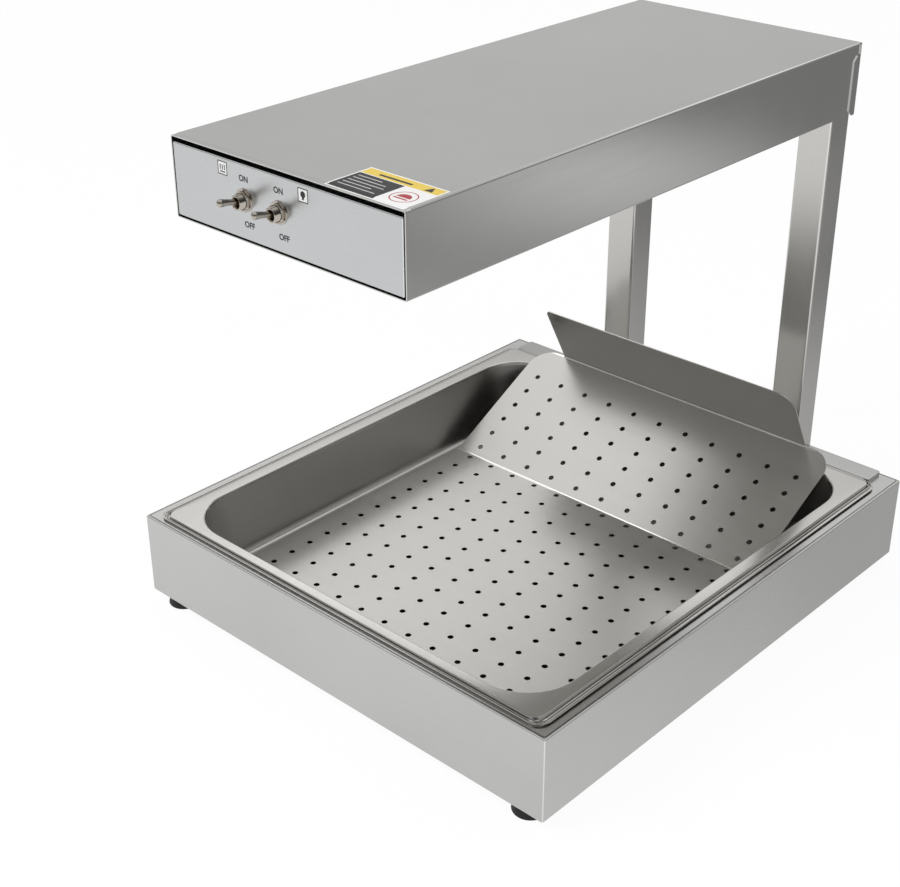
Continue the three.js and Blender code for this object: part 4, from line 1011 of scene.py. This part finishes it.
def hex_bolt(node, name):
    lo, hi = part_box(node)
    across, height, shank = mm(8, 3.5, 2.5)
    tip = across / sqrt(3)
    face = across / 2 * 0.98
    place = Vector(((lo.x + hi.x) / 2, hi.y - height, (lo.z + hi.z) / 2))
    profile = [(0, lo.y - place.y), (shank, lo.y - place.y), (shank, 0), (face, 0), (tip, 0.25 * MM),
               (tip, height - 0.5 * MM),
               (face, height), (0, height)]
    hardware(name, profile, place, FACING_BACK @ HEX_TURN, "zinc", "zinc", node=node, shape=hexagon(across),
             steps=HEX_STEPS)


def gland():
    lo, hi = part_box("cable_gland")
    centre = Vector(((lo.x + hi.x) / 2, BASE_HIGH.y, (lo.z + hi.z) / 2))
    across, hex_thick, dome, dome_length, bore, thread = mm(22, 5, 9.5, 13, 4.2, 7.6)
    tip = across / sqrt(3)
    inside = lo.y - centre.y
    body = [(bore, inside), (thread, inside), (thread, 0), (across / 2, 0), (tip, 0.8 * MM),
            (tip, hex_thick - 0.8 * MM),
            (across / 2, hex_thick), (bore, hex_thick)]
    hardware("cable_gland_body", body, centre, FACING_BACK, "black", "black_plastic", node="cable_gland",
             shape=hexagon(across), closed=True, steps=HEX_STEPS)
    ribs, rib_depth = 24, 0.5 * MM

    def ribbed(angle):
        return dome - rib_depth * (0.5 + 0.5 * cos(ribs * angle))

    end = hex_thick + dome_length
    cap = [(bore, hex_thick), (dome, hex_thick), (dome, hex_thick + dome_length * 0.5),
           (dome - 1.6 * MM, hex_thick + dome_length * 0.72), (bore + 1.6 * MM, end - 0.4 * MM),
           (bore + SHEET, end), (bore, end - 0.6 * MM)]
    hardware("cable_gland_cap", cap, centre, FACING_BACK, "black", "black_plastic", shape=ribbed, closed=True,
             steps=192)


# Prints: thin solid marks on the front panel and a label on the hood's top
PRINT = 0.03 * MM


def prism(outline, z0, z1):
    """A flat shape given height, from anticlockwise points."""
    return loft([[Vector((x, y, z)) for x, y in outline] for z in (z0, z1)], start_cap=True, end_cap=True)


def bar(x0, x1, y0, y1, z0=0.0, z1=PRINT):
    return prism([(x0, y0), (x1, y0), (x1, y1), (x0, y1)], z0, z1)


def disc(x, y, radius, z0=0.0, z1=PRINT, start=0.0, end=TURN, inner=0.0):
    """A round mark: whole, part of one, or a ring."""
    steps = 40
    outer = arc((x, y), radius, start, end, steps)
    if not inner:
        return prism(outer[:-1] if end - start > HALF_TURN * 1.9 else outer, z0, z1)
    back = arc((x, y), inner, start, end, steps)
    parts = [prism([outer[i], outer[i + 1], back[i + 1], back[i]], z0, z1) for i in range(steps)]
    return merge(parts)


def frame_mark(x0, x1, y0, y1, line):
    inner = y0 + line, y1 - line
    return merge([bar(x0, x1, y0, inner[0]), bar(x0, x1, inner[1], y1), bar(x0, x0 + line, *inner),
                  bar(x1 - line, x1, *inner)])


def stick(name, shapes, matrix, material):
    points, faces = merge(shapes)
    piece = build(name, moved(points, matrix), faces)
    piece.data.materials.append(MATERIALS[material])
    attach(piece, "station")


def lettering(name, words, size, centre, matrix):
    curve = bpy.data.curves.new(name, "FONT")
    curve.body = words
    curve.size = size
    curve.align_x = "CENTER"
    curve.align_y = "CENTER"
    curve.extrude = PRINT / 2
    curve.offset = 0.22 * MM
    made = place_in_scene(name + "_curve", curve)
    graph = bpy.context.evaluated_depsgraph_get()
    mesh = bpy.data.meshes.new_from_object(made.evaluated_get(graph))
    bpy.data.objects.remove(made)
    mesh.transform(matrix @ Matrix.Translation((*centre, PRINT / 2)))
    mesh.materials.clear()
    mesh.materials.append(MATERIALS["print_black"])
    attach(place_in_scene(name, mesh), "station")


def panel_print(side):
    """A small framed symbol and ON and OFF at one switch."""
    washer_low, washer_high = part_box(f"switch_washer_{side}")
    x, z = (washer_low.x + washer_high.x) / 2, (washer_low.z + washer_high.z) / 2
    matrix = Matrix.Translation((x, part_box("hood_front_panel")[0].y, z)) @ FACING_FRONT
    lettering(f"print_on_{side}", "ON", 6.4 * MM, (0.5 * MM, 16.5 * MM), matrix)
    lettering(f"print_off_{side}", "OFF", 6.4 * MM, (4.5 * MM, -18.5 * MM), matrix)
    square, line = mm(10.6, 0.75)
    left, foot_line = mm(-28, 14.5) if side == "left" else mm(21.5, 14)
    stick(f"print_ground_{side}", [bar(left, left + square, foot_line, foot_line + square)], matrix,
          "print_white")
    matrix = matrix @ Matrix.Translation((0, 0, PRINT))
    shapes = [frame_mark(left, left + square, foot_line, foot_line + square, line)]
    middle, base_line = left + square / 2, foot_line + 2 * MM
    if side == "left":
        shapes.append(bar(middle - 3 * MM, middle + 3 * MM, base_line, base_line + 0.9 * MM))
        shapes += [bar(x - 0.45 * MM, x + 0.45 * MM, base_line + 1.8 * MM, base_line + 6 * MM)
                   for x in (middle - 2.4 * MM, middle, middle + 2.4 * MM)]
    else:
        shapes.append(disc(middle, base_line + 4 * MM, 2.5 * MM))
        shapes.append(bar(middle - 1 * MM, middle + 1 * MM, base_line, base_line + 1.8 * MM))
    stick(f"print_symbol_{side}", shapes, matrix, "print_black")


def hood_label():
    """A label of plain blocks: white edge, yellow band, dark block with light rules, red ring on white."""
    x0, x1 = 43.5 * MM, 120.5 * MM
    y0, y1 = HOOD_LOW.y + 1.5 * MM, HOOD_LOW.y + 48 * MM
    hem = HOOD_LOW.y + HEM_WIDTH
    edge, film = mm(1.5, 0.05)
    band, split = y1 - 12 * MM, x0 + 46 * MM

    def printed(name, shapes, material):
        """Shapes given as bars, laid on the hood's top, following the hem."""
        points, faces = merge(shapes)
        lowered = [(x, y, z + HOOD_TOP - hem_drop(y)) for x, y, z in points]
        stick(name, [(lowered, faces)], Matrix.Identity(4), material)

    def block(ax, bx, ay, by, z0=film, z1=film + PRINT):
        cuts = [y for y in (hem - HEM_CREASE, hem) if ay < y < by]
        stops = [ay, *cuts, by]
        return merge([bar(ax, bx, a, b, z0, z1) for a, b in zip(stops, stops[1:])])

    printed("label_film", [block(x0, x1, y0, y1, 0.0, film)], "print_white")
    printed("label_band", [block(x0 + edge, x1 - edge, band, y1 - edge)], "print_yellow")
    printed("label_dark", [block(x0 + edge, split, y0 + edge, band - SHEET)], "print_black")
    over = film + PRINT
    tip = x1 - 12 * MM
    layer = over, over + PRINT
    foot_line = band + 1.6 * MM
    triangle = prism([(tip - 4 * MM, foot_line), (tip + 4 * MM, foot_line), (tip, y1 - edge - 1 * MM)], *layer)
    rule = block(x0 + 16 * MM, x0 + 48 * MM, band + 3 * MM, band + 5.6 * MM, *layer)
    printed("label_band_marks", [triangle, rule], "print_black")
    rules = [block(x0 + 5 * MM, x0 + 5 * MM + length * MM, y0 + start * MM, y0 + (start + 1.1) * MM, *layer)
             for start, length in ((8, 36), (13, 28), (18, 35), (23, 32), (28, 24))]
    printed("label_rules", rules, "print_grey")
    ring_x, ring_y = (split + x1 - edge) / 2, (y0 + band) / 2
    marks = [disc(ring_x, ring_y, 10.5 * MM, film, over, inner=9.6 * MM),
             disc(ring_x, ring_y - 1 * MM, 6.4 * MM, film, over, 0.0, HALF_TURN),
             block(ring_x - 6.4 * MM, ring_x + 6.4 * MM, ring_y - 4.4 * MM, ring_y - 2.6 * MM)]
    printed("label_red_marks", marks, "print_red")


# Nodes whose CAD shape is kept: only their edges are rounded
KEPT_NODES = {
    "base_bottom_plate": "zinc", "insulation_board": "wool", "heater_pad": "silicone",
    "heater_plate": "aluminium", "wiring_loom": "wire",
    "limit_thermostat": "black", "terminal_block": "black", "cable_gland_locknut": "black",
    "post_plate_left": "post", "post_plate_right": "post", "hood_bottom_panel": "hood_bottom",
    "switch_body_left": "black", "switch_body_right": "black",
    "lamp_holder_left_front": "ceramic", "lamp_holder_left_rear": "ceramic",
    "lamp_holder_right_front": "ceramic", "lamp_holder_right_rear": "ceramic",
}


def soften_node(name, material):
    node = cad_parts[name]
    node.data.materials.clear()
    node.data.materials.append(MATERIALS[material])
    weld = node.modifiers.new("weld", "WELD")
    weld.merge_threshold = 0.002 * MM
    flat = node.modifiers.new("flat_faces", "DECIMATE")
    flat.decimate_type = "DISSOLVE"
    flat.angle_limit = radians(1)
    bevel = node.modifiers.new("edges", "BEVEL")
    bevel.width = 0.35 * MM
    bevel.segments = 2
    bevel.angle_limit = radians(40)


# Floor, light and camera. The floor glows brightest in front, with two bright patches at the back on the right.
# The sky is brightest well above the horizon behind the object's left, and dark in the direction of the scene's
# camera. The camera sees both as plain white
FLOOR_BRIGHT_WAY = (-0.2, -0.98, 0.0)
FLOOR_SPAN = (-1.1, 0.7, 0.2, 0.95)  # metres along that way, from and to, and the levels there
FLOOR_WHITE = 1.02
FLOOR_PATCHES = [((0.95, 0.98, 0.0), 0.5, 0.48), ((0.35, 0.55, 0.0), 0.4, 0.15)]  # place, radius, level added
FLOOR_SIZE = 40.0
LIGHT_AIM = Vector((0, 0, 0.2))
FLOOR_GLOW = 0.92  # share of the glow in what the camera and the metal see, the rest shows the shadow
SKY_BRIGHT_WAY = (-0.74, 0.67, 0.0)
SKY_BRIGHT_GAIN = 1.4
SKY_SPOT = (-0.62, 0.6, 0.5)
SKY_SPOT_SPAN = (0.985, 1.0, 1.0, 1.2)  # cosines to the spot's direction, from and to, and the gains there
SKY_DARK_SPAN = (0.88, 0.97, 1.0, 0.2)  # the same for the camera's direction
SKY_LEVELS = [(-1.0, 0.3), (0.1, 0.3), (0.2, 0.26), (0.28, 0.25), (0.34, 0.27), (0.41, 0.21), (0.47, 0.26),
              (0.53, 0.64), (0.57, 0.62), (0.61, 0.48), (0.69, 0.2), (0.75, 0.28), (0.81, 0.84), (0.9, 0.84),
              (0.96, 0.55), (1.0, 0.38)]


def floor():
    corners = [(FLOOR_SIZE * x, FLOOR_SIZE * y, 0) for x, y in ((-1, -1), (1, -1), (1, 1), (-1, 1))]
    mesh = bpy.data.meshes.new("studio_floor")
    mesh.from_pydata(corners, [], [(0, 1, 2, 3)])
    material, graph = new_material("studio_white")
    path = graph.node("LightPath").outputs
    place = graph.node("NewGeometry").outputs["Position"]
    white = graph.node("BsdfDiffuse", {"Color": (0.8, 0.8, 0.8, 1)})
    level = graph.smooth(graph.vector("DOT_PRODUCT", place, FLOOR_BRIGHT_WAY), *FLOOR_SPAN)
    for middle, radius, added in FLOOR_PATCHES:
        patch = graph.smooth(graph.vector("DISTANCE", place, middle), 0.0, radius, added, 0.0)
        level = graph.math("ADD", level, patch)
    seen = graph.node("Mix", {"Factor": path["Is Camera Ray"], "A": level, "B": FLOOR_WHITE}).outputs["Result"]
    glow = graph.node("Emission", {"Strength": seen})
    mirrored = graph.math("MAXIMUM", path["Is Glossy Ray"], path["Is Transmission Ray"])
    shown = graph.times(graph.math("MAXIMUM", path["Is Camera Ray"], mirrored), FLOOR_GLOW)
    mix = graph.node("MixShader", {0: shown, 1: white.outputs[0], 2: glow.outputs[0]})
    graph.set(graph.node("OutputMaterial"), "Surface", mix.outputs[0])
    mesh.materials.append(material)
    place_in_scene("studio_floor", mesh)


def sky():
    world = bpy.data.worlds.new("studio")
    bpy.context.scene.world = world
    world.use_nodes = True
    graph = Graph(world.node_tree)
    direction = graph.node("TexCoord").outputs["Generated"]
    stops = [((at + 1) / 2, grey(level)) for at, level in SKY_LEVELS]
    tone = graph.ramp(graph.remap(graph.split(direction)["Z"], -1.0, 1.0, 0.0, 1.0), stops)

    def toward(way, *spans):
        """A level by the cosine between a direction and a given one."""
        return graph.smooth(graph.vector("DOT_PRODUCT", direction, Vector(way).normalized()), *spans)

    sideways = graph.vector("DOT_PRODUCT", direction, SKY_BRIGHT_WAY)
    gain = graph.times(graph.math("MAXIMUM", sideways, 0.0), SKY_BRIGHT_GAIN)
    strength = graph.times(graph.math("ADD", gain, 1.0), toward(SKY_SPOT, *SKY_SPOT_SPAN))
    strength = graph.times(strength, toward(-CAMERA_FORWARD, *SKY_DARK_SPAN))
    around = graph.node("Background", {"Color": tone, "Strength": strength})
    plain = graph.node("Background", {"Color": (1, 1, 1, 1), "Strength": 1.0})
    seen = graph.node("LightPath").outputs["Is Camera Ray"]
    mix = graph.node("MixShader", {0: seen, 1: around.outputs[0], 2: plain.outputs[0]})
    graph.set(graph.node("OutputWorld"), "Surface", mix.outputs[0])


def area_light(name, place, size, power):
    light = bpy.data.lights.new(name, "AREA")
    light.shape = "RECTANGLE"
    light.size = light.size_y = size
    light.energy = power
    made = place_in_scene(name, light)
    made.location = place
    made.rotation_euler = (LIGHT_AIM - Vector(place)).to_track_quat("-Z", "Y").to_euler()
    made.visible_glossy = False


def camera():
    data = bpy.data.cameras.new("camera")
    data.lens = CAMERA_LENS
    data.sensor_width = CAMERA_SENSOR
    data.clip_start = 0.01
    made = place_in_scene("camera", data)
    right = CAMERA_FORWARD.cross(CAMERA_UP).normalized()
    up = right.cross(CAMERA_FORWARD).normalized()
    turn = Matrix((right, up, -CAMERA_FORWARD.normalized())).transposed()
    place = Vector((0, BASE_LOW.y, BASE_LOW.z)) + CAMERA_PLACE
    made.matrix_world = Matrix.Translation(place) @ turn.to_4x4()
    bpy.context.scene.camera = made


# Put it together
camera()
floor()
sky()
area_light("key", (-1.2, -2.4, 2.6), 1.6, 60)
area_light("fill", (2.2, -0.6, 1.8), 1.2, 18)

base()
pan()
tray()
deck()
for side in ("left", "right"):
    post(side)
    lamp(side)
    lamp_guard(side)
    switch(side)
    panel_print(side)
hood_shell()
front_panel()
rear_cover()
reflector()
gland()
hood_label()
for corner in ("front_left", "front_right", "rear_left", "rear_right"):
    foot(corner)
    cross_screw(f"foot_screw_{corner}", f"foot_fixing_{corner}", Matrix.Rotation(HALF_TURN, 4, "X"))
    cross_screw(f"bottom_screw_{corner}", f"bottom_fixing_{corner}", Matrix.Rotation(HALF_TURN, 4, "X"))
for number in (1, 2, 3, 4):
    cross_screw(f"cover_screw_{number}", f"cover_fixing_{number}", FACING_BACK)
for side in ("left", "right"):
    for number in (1, 2):
        hex_bolt(f"post_bolt_{side}_{number}", f"hex_bolt_{side}_{number}")
for name, material in KEPT_NODES.items():
    soften_node(name, material)

view = bpy.context.scene.view_settings
view.view_transform = "Standard"
